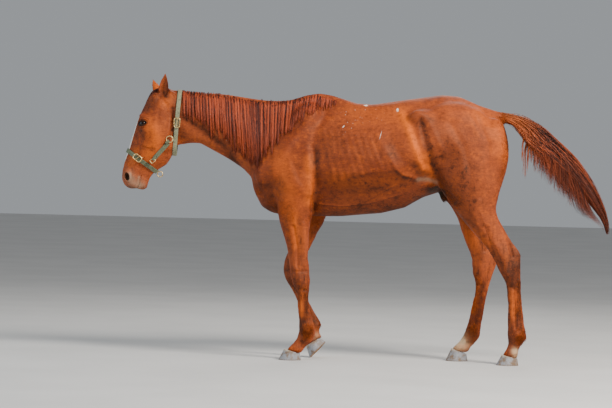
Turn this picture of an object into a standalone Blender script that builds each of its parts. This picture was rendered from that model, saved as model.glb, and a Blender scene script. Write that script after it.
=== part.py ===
"""A chestnut riding horse standing square on three hooves with its right fore foot tipped on the toe.

Frame: metres, +Z up, the nose towards -X, the tail towards +X and the left side towards -Y. The body is
shaped whole from lofts and muscle forms, fused, thinned to facets and parted with narrow plane cuts.
"""
import math

import bmesh
import bpy
import numpy as np
from mathutils import Matrix, Vector
from mathutils.bvhtree import BVHTree

# How the body is fused and thinned
GAP = 0.0003
TOTAL_SPAN = 0.6
FUSE_VOXEL = 0.006
SMOOTH_STEPS = 60
FLESH_TRIANGLES = 4250
RING_POINTS = 28
STATIONS = {"trunk": 48, "neck": 36, "head": 52, "tail": 40}
SQUARENESS = {"trunk": 2.6, "neck": 2.4, "head": 3.0, "tail": 2.2, "leg": 2.2, "hoof": 2.4}
COARSE = {"trunk": 1.0, "legs": 0.80, "head": 0.74, "tail": 0.86}
SOFT = {"trunk": 1.0, "legs": 0.12, "head": 0.12, "tail": 0.25}
SMALL_FORM = {"place": (0.879, 0.0, 0.980), "from": 0.050, "to": 0.090}

# Where the whole body is parted, as blocks seen from the side; neighbours share a seam, and each block draws
# back from its own outline by half the gap
NECK_SEAM = ((-0.684, 1.72), (-0.702, 1.00))
SHOULDER_SEAM = ((0.085, 1.72), (-0.340, 0.93))
TAIL_SEAM = ((1.180, 1.62), (1.222, 1.417), (1.400, 1.180))
FORE_TOP = 0.812
HIND_TOP = 0.925
HIND_FRONT = 0.862

# Trunk sections across the spine: x, top z, bottom z, then half widths 10, 35, 60 and 85 % of the way down
TRUNK = (
    (-0.250, 1.17, 1.02, 0.020, 0.045, 0.050, 0.035),
    (-0.225, 1.24, 0.95, 0.040, 0.100, 0.120, 0.080),
    (-0.180, 1.36, 0.88, 0.045, 0.140, 0.175, 0.120),
    (-0.100, 1.47, 0.846, 0.042, 0.150, 0.198, 0.148),
    (0.000, 1.54, 0.838, 0.040, 0.150, 0.205, 0.150),
    (0.110, 1.570, 0.836, 0.042, 0.158, 0.214, 0.150),
    (0.190, 1.567, 0.838, 0.052, 0.180, 0.232, 0.156),
    (0.290, 1.533, 0.843, 0.088, 0.217, 0.250, 0.166),
    (0.400, 1.508, 0.853, 0.122, 0.242, 0.266, 0.176),
    (0.530, 1.521, 0.869, 0.142, 0.254, 0.278, 0.186),
    (0.650, 1.543, 0.903, 0.156, 0.254, 0.270, 0.184),
    (0.760, 1.559, 0.965, 0.176, 0.256, 0.254, 0.170),
    (0.870, 1.575, 1.005, 0.164, 0.246, 0.244, 0.150),
    (0.970, 1.562, 1.040, 0.142, 0.228, 0.230, 0.140),
    (1.070, 1.521, 1.080, 0.112, 0.198, 0.204, 0.120),
    (1.160, 1.494, 1.140, 0.070, 0.146, 0.162, 0.100),
    (1.215, 1.462, 1.200, 0.034, 0.085, 0.100, 0.060),
)

# Neck sections, each from the crest to the throat: crest x, z, throat x, z, then four half widths
NECK = (
    (0.200, 1.556, -0.120, 0.920, 0.034, 0.150, 0.190, 0.150),
    (0.060, 1.550, -0.238, 1.035, 0.028, 0.108, 0.150, 0.132),
    (-0.090, 1.522, -0.294, 1.096, 0.027, 0.088, 0.120, 0.108),
    (-0.230, 1.530, -0.369, 1.147, 0.027, 0.077, 0.099, 0.091),
    (-0.380, 1.549, -0.469, 1.202, 0.029, 0.072, 0.087, 0.077),
    (-0.520, 1.557, -0.565, 1.247, 0.033, 0.070, 0.079, 0.065),
    (-0.640, 1.559, -0.641, 1.244, 0.040, 0.071, 0.074, 0.057),
    (-0.730, 1.564, -0.700, 1.234, 0.041, 0.067, 0.070, 0.052),
)

# Head sections from the poll to the lips: front x, z, jaw x, z, then four half widths
HEAD = (
    (-0.775, 1.582, -0.690, 1.530, 0.030, 0.045, 0.050, 0.040),
    (-0.845, 1.553, -0.672, 1.440, 0.052, 0.070, 0.070, 0.052),
    (-0.878, 1.500, -0.688, 1.370, 0.082, 0.090, 0.078, 0.058),
    (-0.905, 1.442, -0.700, 1.305, 0.100, 0.102, 0.084, 0.066),
    (-0.932, 1.378, -0.706, 1.240, 0.104, 0.104, 0.088, 0.070),
    (-0.953, 1.310, -0.718, 1.184, 0.082, 0.092, 0.084, 0.064),
    (-0.970, 1.250, -0.752, 1.124, 0.060, 0.076, 0.071, 0.052),
    (-0.986, 1.196, -0.795, 1.094, 0.041, 0.060, 0.056, 0.040),
    (-1.001, 1.145, -0.832, 1.062, 0.037, 0.053, 0.047, 0.034),
    (-1.012, 1.095, -0.852, 1.030, 0.037, 0.051, 0.044, 0.032),
    (-1.018, 1.055, -0.860, 1.002, 0.039, 0.052, 0.044, 0.033),
    (-1.012, 1.018, -0.872, 0.978, 0.038, 0.049, 0.042, 0.032),
    (-0.985, 0.991, -0.900, 0.969, 0.026, 0.034, 0.032, 0.022),
)

# Tail sections: upper x, z, lower x, z, half thickness
TAIL = (
    (1.150, 1.490, 1.170, 1.390, 0.036),
    (1.225, 1.484, 1.228, 1.405, 0.036),
    (1.300, 1.478, 1.284, 1.378, 0.042),
    (1.385, 1.452, 1.338, 1.308, 0.052),
    (1.465, 1.400, 1.392, 1.226, 0.058),
    (1.550, 1.323, 1.460, 1.158, 0.062),
    (1.625, 1.262, 1.528, 1.086, 0.062),
    (1.698, 1.186, 1.594, 1.020, 0.058),
    (1.758, 1.102, 1.656, 0.956, 0.052),
    (1.808, 1.006, 1.716, 0.896, 0.046),
    (1.843, 0.915, 1.772, 0.858, 0.036),
    (1.862, 0.840, 1.815, 0.816, 0.022),
    (1.861, 0.775, 1.846, 0.768, 0.008),
)

# Leg sections, level slices from the top down: z, front x, back x, middle y, half width, rear width share
NEAR_FORE = (
    (0.960, -0.105, 0.125, 0.150, 0.062, 0.80),
    (0.880, -0.100, 0.122, 0.148, 0.060, 0.80),
    (0.820, -0.088, 0.106, 0.142, 0.060, 0.80),
    (0.755, -0.066, 0.097, 0.136, 0.056, 0.80),
    (0.700, -0.048, 0.096, 0.132, 0.050, 0.76),
    (0.640, -0.032, 0.094, 0.130, 0.043, 0.74),
    (0.595, -0.024, 0.095, 0.129, 0.041, 0.66),
    (0.550, -0.018, 0.101, 0.128, 0.044, 0.55),
    (0.505, -0.015, 0.106, 0.128, 0.045, 0.50),
    (0.465, -0.004, 0.109, 0.128, 0.041, 0.56),
    (0.430, 0.012, 0.106, 0.127, 0.034, 0.64),
    (0.370, 0.029, 0.103, 0.126, 0.026, 0.72),
    (0.300, 0.036, 0.111, 0.126, 0.024, 0.72),
    (0.240, 0.044, 0.128, 0.126, 0.026, 0.74),
    (0.195, 0.047, 0.143, 0.126, 0.033, 0.76),
    (0.160, 0.046, 0.147, 0.126, 0.036, 0.76),
    (0.125, 0.033, 0.136, 0.126, 0.032, 0.80),
    (0.095, 0.010, 0.112, 0.126, 0.030, 0.90),
    (0.068, -0.014, 0.085, 0.126, 0.037, 1.00),
    (0.042, -0.030, 0.070, 0.126, 0.044, 1.00),
)
FAR_FORE = (
    (0.960, -0.060, 0.200, 0.150, 0.062, 0.80),
    (0.880, -0.020, 0.205, 0.148, 0.060, 0.80),
    (0.820, 0.012, 0.188, 0.142, 0.058, 0.80),
    (0.765, 0.014, 0.160, 0.137, 0.053, 0.80),
    (0.700, -0.004, 0.128, 0.133, 0.047, 0.76),
    (0.640, -0.022, 0.100, 0.130, 0.042, 0.70),
    (0.585, -0.045, 0.074, 0.128, 0.044, 0.58),
    (0.535, -0.055, 0.062, 0.127, 0.045, 0.50),
    (0.490, -0.051, 0.058, 0.126, 0.044, 0.52),
    (0.450, -0.036, 0.056, 0.126, 0.037, 0.62),
    (0.400, -0.002, 0.070, 0.126, 0.028, 0.72),
    (0.340, 0.028, 0.100, 0.126, 0.024, 0.74),
    (0.280, 0.058, 0.134, 0.126, 0.024, 0.74),
    (0.230, 0.082, 0.165, 0.126, 0.029, 0.76),
    (0.195, 0.098, 0.180, 0.126, 0.034, 0.76),
    (0.170, 0.100, 0.170, 0.126, 0.032, 0.80),
    (0.145, 0.098, 0.174, 0.126, 0.032, 0.88),
    (0.122, 0.094, 0.188, 0.126, 0.036, 1.00),
    (0.100, 0.088, 0.190, 0.126, 0.040, 1.00),
    (0.075, 0.084, 0.170, 0.126, 0.042, 1.00),
    (0.055, 0.086, 0.140, 0.126, 0.040, 1.00),
)
NEAR_HIND = (
    (1.400, 0.860, 1.195, 0.130, 0.085, 0.85),
    (1.310, 0.810, 1.244, 0.138, 0.104, 0.80),
    (1.210, 0.800, 1.250, 0.142, 0.116, 0.76),
    (1.110, 0.815, 1.232, 0.142, 0.122, 0.74),
    (1.030, 0.845, 1.208, 0.140, 0.120, 0.72),
    (0.965, 0.890, 1.192, 0.138, 0.110, 0.72),
    (0.905, 0.935, 1.186, 0.137, 0.096, 0.72),
    (0.855, 0.975, 1.200, 0.137, 0.082, 0.70),
    (0.805, 1.020, 1.230, 0.136, 0.070, 0.62),
    (0.755, 1.064, 1.261, 0.135, 0.060, 0.50),
    (0.705, 1.110, 1.294, 0.134, 0.051, 0.42),
    (0.665, 1.142, 1.328, 0.134, 0.046, 0.40),
    (0.630, 1.164, 1.338, 0.134, 0.045, 0.46),
    (0.585, 1.190, 1.336, 0.134, 0.045, 0.54),
    (0.545, 1.208, 1.337, 0.134, 0.043, 0.60),
    (0.510, 1.232, 1.338, 0.134, 0.037, 0.64),
    (0.470, 1.249, 1.341, 0.134, 0.030, 0.70),
    (0.390, 1.259, 1.346, 0.134, 0.026, 0.74),
    (0.320, 1.262, 1.356, 0.134, 0.026, 0.74),
    (0.250, 1.263, 1.366, 0.134, 0.028, 0.76),
    (0.200, 1.263, 1.376, 0.134, 0.034, 0.78),
    (0.160, 1.268, 1.380, 0.134, 0.036, 0.78),
    (0.125, 1.269, 1.352, 0.134, 0.032, 0.84),
    (0.098, 1.262, 1.340, 0.134, 0.032, 0.92),
    (0.070, 1.245, 1.334, 0.134, 0.040, 1.00),
    (0.045, 1.232, 1.330, 0.134, 0.044, 1.00),
)
FAR_HIND = (
    (1.400, 0.850, 1.190, 0.130, 0.085, 0.85),
    (1.310, 0.800, 1.238, 0.138, 0.104, 0.80),
    (1.210, 0.792, 1.242, 0.142, 0.116, 0.76),
    (1.110, 0.805, 1.222, 0.142, 0.122, 0.74),
    (1.030, 0.835, 1.198, 0.140, 0.120, 0.72),
    (0.965, 0.885, 1.186, 0.138, 0.110, 0.72),
    (0.905, 0.935, 1.180, 0.137, 0.096, 0.72),
    (0.850, 0.966, 1.172, 0.136, 0.082, 0.68),
    (0.790, 0.988, 1.164, 0.135, 0.070, 0.60),
    (0.735, 1.008, 1.174, 0.134, 0.058, 0.50),
    (0.685, 1.028, 1.200, 0.133, 0.049, 0.42),
    (0.645, 1.047, 1.222, 0.132, 0.045, 0.42),
    (0.605, 1.058, 1.220, 0.132, 0.045, 0.48),
    (0.560, 1.064, 1.206, 0.132, 0.045, 0.56),
    (0.515, 1.072, 1.190, 0.132, 0.041, 0.62),
    (0.470, 1.084, 1.176, 0.132, 0.034, 0.68),
    (0.420, 1.086, 1.164, 0.132, 0.027, 0.74),
    (0.350, 1.072, 1.152, 0.132, 0.025, 0.74),
    (0.290, 1.060, 1.143, 0.132, 0.026, 0.74),
    (0.225, 1.047, 1.131, 0.132, 0.029, 0.76),
    (0.180, 1.034, 1.127, 0.132, 0.035, 0.78),
    (0.140, 1.014, 1.120, 0.132, 0.034, 0.80),
    (0.108, 0.990, 1.096, 0.132, 0.031, 0.90),
    (0.082, 0.965, 1.074, 0.132, 0.036, 1.00),
    (0.055, 0.948, 1.056, 0.132, 0.042, 1.00),
)

# Muscle and bone forms on both sides: centre x, y, z, radii along x, y, z and a lean about Y in degrees
PAIRED_FORMS = {
    "shoulder_blade_low": ((-0.045, 0.112, 1.170), (0.112, 0.074, 0.180), 24),
    "shoulder_blade_high": ((0.045, 0.066, 1.350), (0.100, 0.066, 0.160), 24),
    "point_of_shoulder": ((-0.165, 0.120, 1.090), (0.066, 0.058, 0.095), 10),
    "triceps": ((0.010, 0.140, 1.040), (0.125, 0.086, 0.150), -20),
    "elbow": ((0.070, 0.152, 0.895), (0.046, 0.040, 0.070), 0),
    "breast": ((-0.148, 0.065, 1.025), (0.066, 0.068, 0.115), -16),
    "hip_bone": ((0.738, 0.166, 1.418), (0.095, 0.067, 0.070), 0),
    "rump": ((0.930, 0.090, 1.385), (0.230, 0.140, 0.150), 8),
    "stifle": ((0.955, 0.150, 1.045), (0.088, 0.078, 0.125), 0),
    "buttock": ((1.145, 0.098, 1.235), (0.100, 0.092, 0.215), 6),
    "cheek": ((-0.795, 0.050, 1.302), (0.080, 0.037, 0.125), 20),
    "brow": ((-0.880, 0.074, 1.392), (0.046, 0.029, 0.024), 26),
    "orbit": ((-0.890, 0.070, 1.362), (0.041, 0.029, 0.031), 14),
    "temple": ((-0.838, 0.044, 1.488), (0.040, 0.038, 0.060), 24),
    "cheek_bone": ((-0.888, 0.064, 1.275), (0.016, 0.019, 0.080), 12),
    "nostril_wing": ((-0.978, 0.036, 1.054), (0.034, 0.021, 0.040), 16),
    "jaw_angle": ((-0.748, 0.046, 1.235), (0.036, 0.026, 0.060), 28),
}
MIDDLE_FORMS = {
    "poll": ((-0.775, 0.0, 1.538), (0.066, 0.056, 0.034), 0),
    "upper_lip": ((-0.962, 0.0, 1.006), (0.048, 0.044, 0.031), 20),
    "chin": ((-0.893, 0.0, 1.000), (0.033, 0.034, 0.032), 0),
    "sheath": ((0.850, 0.0, 1.034), (0.056, 0.036, 0.034), 0),
    "sheath_tip": ((0.879, 0.0, 0.983), (0.027, 0.025, 0.043), -8),
    "breastbone": ((-0.040, 0.0, 0.930), (0.150, 0.090, 0.075), 0),
}

EYE = {"x": -0.895, "z": 1.359, "radius": 0.0265, "proud": 0.0035, "segments": 14}
NOSTRIL = {"x": -0.984, "z": 1.047, "radii": (0.011, 0.017, 0.021), "lean": 14, "segments": 12}

# Ears: middle of the base, tip, the way the cup opens; then the shape they share
EARS = {
    "ear_left": ((-0.780, -0.050, 1.512), (-0.770, -0.076, 1.656), (-0.30, -0.95, 0.0)),
    "ear_right": ((-0.792, 0.050, 1.514), (-0.852, 0.074, 1.621), (-0.62, 0.78, 0.1)),
}
EAR_WIDTH = 0.062
EAR_CUP = 0.030
EAR_WALL = 0.0085
EAR_SWEEP = 98
EAR_COLUMNS = 8
EAR_PROFILE = (0.62, 0.80, 0.96, 1.0, 0.92, 0.72, 0.42, 0.12)

# Hooves: x of the toe, y, toe height, how far the heel is lifted and how far the toe is turned out, degrees
HOOVES = {
    "hoof_fore_left": (-0.068, -0.126, 0.064, 0.0, 0.0),
    "hoof_fore_right": (0.118, 0.126, 0.064, 47.0, -10.0),
    "hoof_hind_left": (1.204, -0.134, 0.062, 0.0, 0.0),
    "hoof_hind_right": (0.921, 0.132, 0.074, 0.0, 0.0),
}
HOOF_SOLE = {"length": 0.132, "half_width": 0.060}
HOOF_TOP = {"front": 0.033, "back": 0.124, "half_width": 0.046, "heel_height": 0.042}
HOOF_LEVELS = (0.0, 0.45, 1.0)
TOE_SINK = 0.0025

# Mane: the lower edge of the hair on the left of the neck, from the poll to the withers, as x and z
MANE_EDGE = (
    (-0.662, 1.430), (-0.580, 1.375), (-0.490, 1.315), (-0.400, 1.240), (-0.310, 1.140),
    (-0.250, 1.115), (-0.170, 1.220), (-0.085, 1.345), (0.010, 1.420), (0.110, 1.470), (0.205, 1.500),
)
MANE_STATIONS = 13
MANE_SPOTS = 6
MANE_DEPTH = 0.010
MANE_PAST_CREST = 0.012
MANE_ROOT = 0.004

# Halter: webbing width, thickness and clearance, and where its straps run, as x, z seen from the side
WEB_WIDTH = 0.025
WEB_THICK = 0.0032
WEB_CLEAR = 0.0025
LEAST_TURN = math.radians(4)
CROWN = {
    "point": (-0.697, 1.370), "normal": (1.0, -0.062), "tapers": False,
    "slack": ((0.020, 1.188), (-0.020, 1.188)),
}
NOSEBAND = {"point": (-0.894, 1.136), "normal": (0.572, 0.820), "tapers": True, "slack": ()}
CHEEK_STRAP = ((-0.743, 1.250), (-0.824, 1.158))
STRAP_STEPS = 7
BAND_CUTS = 4
LOOP_STEPS = 24
LIFT = 0.0006
CHEEK_RING = {"x": -0.7360, "z": 1.2725, "radius": 0.0195, "wire": 0.0026}
NOSE_SQUARE = {"x": -0.8330, "z": 1.1440, "size": (0.034, 0.026), "turn": -38, "wire": 0.0024}
CROWN_BUCKLE = {"x": -0.6955, "z": 1.370, "size": (0.040, 0.060), "turn": 2, "wire": 0.0028}
NOSE_BUCKLE = {"x": -0.9230, "z": 1.158, "size": (0.054, 0.040), "turn": 35, "wire": 0.0028}
CHIN_RING = {"radius": 0.0165, "wire": 0.0026}

COLOURS = {
    "coat": (0.300, 0.085, 0.030),
    "mane": (0.120, 0.030, 0.014),
    "hoof": (0.300, 0.290, 0.270),
    "eye": (0.012, 0.008, 0.006),
    "webbing": (0.200, 0.200, 0.100),
    "brass": (0.700, 0.520, 0.220),
}


def clear_scene():
    for item in list(bpy.data.objects):
        bpy.data.objects.remove(item, do_unlink=True)


def collection(name):
    group = bpy.data.collections.new(name)
    bpy.context.scene.collection.children.link(group)
    return group


def material(name, colour, roughness, metallic=0.0):
    made = bpy.data.materials.new(name)
    made.use_nodes = True
    shader = made.node_tree.nodes["Principled BSDF"]
    shader.inputs["Base Color"].default_value = (*colour, 1.0)
    shader.inputs["Roughness"].default_value = roughness
    shader.inputs["Metallic"].default_value = metallic
    return made


def to_object(name, mesh, group):
    made = bpy.data.objects.new(name, mesh)
    group.objects.link(made)
    return made


def curve_through(keys, share):
    """A smooth curve through rows of numbers, at a share from 0 at the first row to 1 at the last."""
    place = share * (len(keys) - 1)
    first = min(int(place), len(keys) - 2)
    t = place - first
    before, start, end, after = (
        np.array(keys[min(max(first + step, 0), len(keys) - 1)], dtype=float) for step in (-1, 0, 1, 2)
    )
    bend = 2 * before - 5 * start + 4 * end - after
    twist = -before + 3 * start - 3 * end + after
    return 0.5 * (2 * start + (end - before) * t + bend * t * t + twist * t ** 3)


def section(front, back, middle_y, widths, squareness):
    """A closed ring through front and back in a plane along Y; widths are half widths on the way back."""
    front = np.array((front[0], 0.0, front[1]))
    back = np.array((back[0], 0.0, back[1]))
    half = RING_POINTS // 2
    ring = []
    for index in range(RING_POINTS):
        turn = 2 * math.pi * index / RING_POINTS
        share = 0.5 - 0.5 * math.cos(turn)
        rounding = max(1 - abs(2 * share - 1) ** squareness, 0.0) ** (1 / squareness)
        width = curve_through(widths, min(max((share - 0.1) / 0.75, 0.0), 1.0))[0] * rounding
        side = 1.0 if index <= half else -1.0
        point = front + (back - front) * share
        ring.append((point[0], middle_y + side * width, point[2]))
    return ring


def loft(name, rings, group):
    """A closed solid through rings of equal count, capped at both ends."""
    count = len(rings[0])
    shape = bmesh.new()
    rows = [[shape.verts.new(point) for point in ring] for ring in rings]
    for lower, upper in zip(rows, rows[1:]):
        for index in range(count):
            after = (index + 1) % count
            shape.faces.new((lower[index], lower[after], upper[after], upper[index]))
    shape.faces.new(rows[0][::-1])
    shape.faces.new(rows[-1])
    bmesh.ops.triangulate(shape, faces=[face for face in shape.faces if len(face.verts) > 4])
    bmesh.ops.recalc_face_normals(shape, faces=shape.faces)
    mesh = bpy.data.meshes.new(name)
    shape.to_mesh(mesh)
    shape.free()
    return to_object(name, mesh, group)


def stations(rows, count, build):
    return [build(curve_through(rows, step / (count - 1))) for step in range(count)]


def widths_of(values):
    return [(value,) for value in values]


def trunk_form(group):
    def ring(row):
        return section((row[0], row[1]), (row[0], row[2]), 0.0, widths_of(row[3:]), SQUARENESS["trunk"])
    return loft("trunk_form", stations(TRUNK, STATIONS["trunk"], ring), group)


def slanted_form(name, rows, group):
    """The neck or the head, whose sections run from the upper line to the lower one."""
    def ring(row):
        return section((row[0], row[1]), (row[2], row[3]), 0.0, widths_of(row[4:]), SQUARENESS[name])
    return loft(name + "_form", stations(rows, STATIONS[name], ring), group)


def tail_form(group):
    def ring(row):
        thickness = row[4]
        widths = (thickness * 0.8, thickness, thickness, thickness * 0.7)
        return section((row[0], row[1]), (row[2], row[3]), 0.0, widths_of(widths), SQUARENESS["tail"])
    return loft("tail_form", stations(TAIL, STATIONS["tail"], ring), group)


def leg_form(name, rows, side, group):
    def ring(row):
        height, front, back, middle, half, rear = row
        widths = (half * 0.92, half, half * (1 + rear) / 2, half * rear)
        return section((front, height), (back, height), side * middle, widths_of(widths), SQUARENESS["leg"])
    return loft(name, stations(rows, 3 * len(rows), ring), group)


def ball(name, centre, radii, lean, side, group, segments=24):
    """A muscle or bone form: a stretched ball that leans about the Y axis."""
    bpy.ops.mesh.primitive_uv_sphere_add(segments=segments, ring_count=segments // 2 + 2, radius=1.0)
    made = bpy.context.object
    made.name = name
    turn = Matrix.Rotation(math.radians(lean), 4, "Y")
    place = Matrix.Translation((centre[0], side * centre[1], centre[2]))
    made.data.transform(place @ turn @ Matrix.Diagonal((*radii, 1.0)))
    for owner in list(made.users_collection):
        owner.objects.unlink(made)
    group.objects.link(made)
    return made


def join(name, pieces, group):
    shape = bmesh.new()
    for piece in pieces:
        shape.from_mesh(piece.data)
        bpy.data.objects.remove(piece, do_unlink=True)
    mesh = bpy.data.meshes.new(name)
    shape.to_mesh(mesh)
    shape.free()
    return to_object(name, mesh, group)


def bake_modifiers(item):
    """The object with its modifiers applied."""
    depsgraph = bpy.context.evaluated_depsgraph_get()
    mesh = bpy.data.meshes.new_from_object(item.evaluated_get(depsgraph))
    item.modifiers.clear()
    item.data = mesh
    return item


def region_weights(body, name, values):
    """A vertex group with a value of its own on the trunk, head, legs and tail, easing between them.

    The small form under the belly takes the value of the legs.
    """
    weights = body.vertex_groups.new(name=name)
    small = Vector(SMALL_FORM["place"])
    for vertex in body.data.vertices:
        x, _, z = vertex.co
        head = min(max((-0.60 - x) / 0.12, 0.0), 1.0)
        leg = min(max((0.98 - z) / 0.25, 0.0), 1.0) * (1 - head)
        if -0.2 < x < 0.9:
            leg = min(max((0.83 - z) / 0.06, 0.0), 1.0)
        tail = min(max((x - 1.24) / 0.08, 0.0), 1.0) if z > 0.93 or x > 1.45 else 0.0
        away = (vertex.co - small).length
        near = min(max((SMALL_FORM["to"] - away) / (SMALL_FORM["to"] - SMALL_FORM["from"]), 0.0), 1.0)
        leg = max(leg * (1 - tail), near * (1 - tail))
        value = values["trunk"] * (1 - head - leg - tail)
        value += values["head"] * head + values["legs"] * leg + values["tail"] * tail
        weights.add([vertex.index], value, "REPLACE")
    return name


def fused_flesh(group):
    """The whole body as one dense skin, before it is thinned."""
    pieces = [trunk_form(group), tail_form(group)]
    pieces.append(slanted_form("neck", NECK, group))
    pieces.append(slanted_form("head", HEAD, group))
    pieces.append(leg_form("near_fore", NEAR_FORE, -1, group))
    pieces.append(leg_form("far_fore", FAR_FORE, 1, group))
    pieces.append(leg_form("near_hind", NEAR_HIND, -1, group))
    pieces.append(leg_form("far_hind", FAR_HIND, 1, group))
    for name, (centre, radii, lean) in PAIRED_FORMS.items():
        pieces += [ball(name, centre, radii, lean, side, group) for side in (-1, 1)]
    for name, (centre, radii, lean) in MIDDLE_FORMS.items():
        pieces.append(ball(name, centre, radii, lean, 1, group))
    body = join("body", pieces, group)
    fuse = body.modifiers.new("fuse", "REMESH")
    fuse.mode = "VOXEL"
    fuse.voxel_size = FUSE_VOXEL
    bake_modifiers(body)
    soften = body.modifiers.new("soften", "SMOOTH")
    soften.factor = 0.5
    soften.iterations = SMOOTH_STEPS
    soften.vertex_group = region_weights(body, "soft", SOFT)
    bake_modifiers(body)
    body.vertex_groups.clear()
    return body


def thin_out(body):
    """Facets of uneven size: small on the head and the lower legs, large on the trunk."""
    thin = body.modifiers.new("thin", "DECIMATE")
    thin.ratio = FLESH_TRIANGLES / (2 * len(body.data.polygons))
    thin.vertex_group = region_weights(body, "coarse", COARSE)
    thin.vertex_group_factor = 1.0
    thin.use_collapse_triangulate = True
    bake_modifiers(body)
    body.vertex_groups.clear()
    return body


def drawn_back(outline, distance):
    """The outline with each edge moved inwards; the outline runs anticlockwise as seen from the left side."""
    corners = [np.array(point, dtype=float) for point in outline]
    moved = []
    for index, corner in enumerate(corners):
        into = corner - corners[index - 1]
        out = corners[(index + 1) % len(corners)] - corner
        inward = [np.array((-way[1], way[0])) / np.linalg.norm(way) for way in (into, out)]
        share = distance / (1 + inward[0] @ inward[1])
        moved.append(corner + (inward[0] + inward[1]) * share)
    return moved


def prism(name, outline, from_y, to_y, group):
    """A cutter: an outline seen from the left side, as x and z, given a thickness along Y."""
    shape = bmesh.new()
    face = shape.faces.new([shape.verts.new((point[0], from_y, point[1])) for point in outline])
    pushed = bmesh.ops.extrude_face_region(shape, geom=[face])["geom"]
    bmesh.ops.translate(shape, vec=(0.0, to_y - from_y, 0.0),
                        verts=[item for item in pushed if isinstance(item, bmesh.types.BMVert)])
    bmesh.ops.triangulate(shape, faces=shape.faces)
    bmesh.ops.recalc_face_normals(shape, faces=shape.faces)
    mesh = bpy.data.meshes.new(name)
    shape.to_mesh(mesh)
    shape.free()
    made = to_object(name, mesh, group)
    made.hide_render = True
    made.display_type = "WIRE"
    return made


def copy_of(item, name, group):
    return to_object(name, item.data.copy(), group)


def carve(item, cutter, operation):
    cut = item.modifiers.new(operation.lower(), "BOOLEAN")
    cut.operation = operation
    cut.object = cutter
    return bake_modifiers(item)


def swollen(item, name, distance, group):
    """A copy whose skin stands further out."""
    made = copy_of(item, name, group)
    swell = made.modifiers.new("swell", "DISPLACE")
    swell.strength = distance
    swell.mid_level = 0.0
    return bake_modifiers(made)


def largest_body(item):
    """Keeps the largest of the loose shapes in a mesh."""
    shape = bmesh.new()
    shape.from_mesh(item.data)
    left = set(shape.verts)
    best = []
    while left:
        island = [left.pop()]
        for vertex in island:
            for edge in vertex.link_edges:
                other = edge.other_vert(vertex)
                if other in left:
                    left.remove(other)
                    island.append(other)
        best = max(best, island, key=len)
    keep = set(best)
    bmesh.ops.delete(shape, geom=[vertex for vertex in shape.verts if vertex not in keep], context="VERTS")
    shape.to_mesh(item.data)
    shape.free()
    return item


def tidy_mesh(item):
    """Welds slivers left by a cut, and leaves triangles."""
    shape = bmesh.new()
    shape.from_mesh(item.data)
    bmesh.ops.dissolve_degenerate(shape, dist=1e-5, edges=shape.edges)
    bmesh.ops.triangulate(shape, faces=shape.faces)
    shape.to_mesh(item.data)
    shape.free()
    return item


def block_outlines():
    """The side-view outline of each block that parts the body."""
    front, low = -1.30, -0.20
    seam_top, seam_foot = NECK_SEAM
    withers, breast = SHOULDER_SEAM
    dock, crease, hang = TAIL_SEAM
    return {
        "head": ((front, 0.80), (seam_foot[0], 0.80), seam_foot, seam_top, (front, seam_top[1])),
        "neck": (seam_top, seam_foot, (seam_foot[0], 0.95), (-0.42, 0.95), breast, withers),
        "trunk": (
            withers, breast, (breast[0], FORE_TOP), (0.40, FORE_TOP), (HIND_FRONT, 0.885),
            (HIND_FRONT, HIND_TOP), (hang[0], HIND_TOP), hang, crease, dock, (1.08, 1.72),
        ),
        "tail": (dock, crease, hang, (hang[0] + 0.15, 0.60), (2.00, 0.60), (2.00, 1.62)),
        "fore": ((-0.30, low), (0.42, low), (0.42, FORE_TOP), (-0.30, FORE_TOP)),
        "hind": ((HIND_FRONT, low), (1.50, low), (1.50, HIND_TOP), (HIND_FRONT, HIND_TOP)),
    }


def flesh_node(name, body, outline, side, groups, shade):
    """The part of the body inside a block, on one side of the middle plane or on both."""
    horse, helpers = groups
    from_y = GAP / 2 if side == 1 else -TOTAL_SPAN
    to_y = -GAP / 2 if side == -1 else TOTAL_SPAN
    cutter = prism("block_" + name, drawn_back(outline, GAP / 2), from_y, to_y, helpers)
    node = carve(copy_of(body, name, horse), cutter, "INTERSECT")
    largest_body(node)
    node.data.materials.clear()
    node.data.materials.append(shade)
    return node


def hoof_place(points, toe_x, middle_y, lift, turn):
    """Points of a hoof whose toe is at the origin, tipped about the toe, turned and set in place."""
    move = Matrix.Translation((toe_x, middle_y, -TOE_SINK if lift else 0.0))
    tip = Matrix.Rotation(math.radians(-lift), 4, "Y")
    swing = Matrix.Rotation(math.radians(turn), 4, "Z")
    return [move @ swing @ tip @ Vector(point) for point in points]


def hoof_ring(share, toe_height):
    """A ring of the hoof wall, share running from 0 at the sole to 1 at the coronet."""
    front = (HOOF_TOP["front"] * share, toe_height * share)
    back_x = HOOF_SOLE["length"] + (HOOF_TOP["back"] - HOOF_SOLE["length"]) * share
    back = (back_x, HOOF_TOP["heel_height"] * share)
    half = HOOF_SOLE["half_width"] + (HOOF_TOP["half_width"] - HOOF_SOLE["half_width"]) * share
    widths = widths_of((half * 0.86, half, half * 0.97, half * 0.74))
    return section(front, back, 0.0, widths, SQUARENESS["hoof"])


def hoof(name, settings, groups, shade):
    """The hoof, flat underneath; a tipped one is trimmed level where its toe meets the floor."""
    horse, helpers = groups
    toe_x, middle_y, toe_height, lift, turn = settings
    rings = [hoof_place(hoof_ring(share, toe_height), toe_x, middle_y, lift, turn) for share in HOOF_LEVELS]
    node = loft(name, rings, horse)
    if lift:
        floor = ((-2.0, 0.0), (2.0, 0.0), (2.0, 2.0), (-2.0, 2.0))
        node = carve(node, prism("floor_" + name, floor, -TOTAL_SPAN, TOTAL_SPAN, helpers), "INTERSECT")
    node.data.materials.clear()
    node.data.materials.append(shade)
    return node


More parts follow.
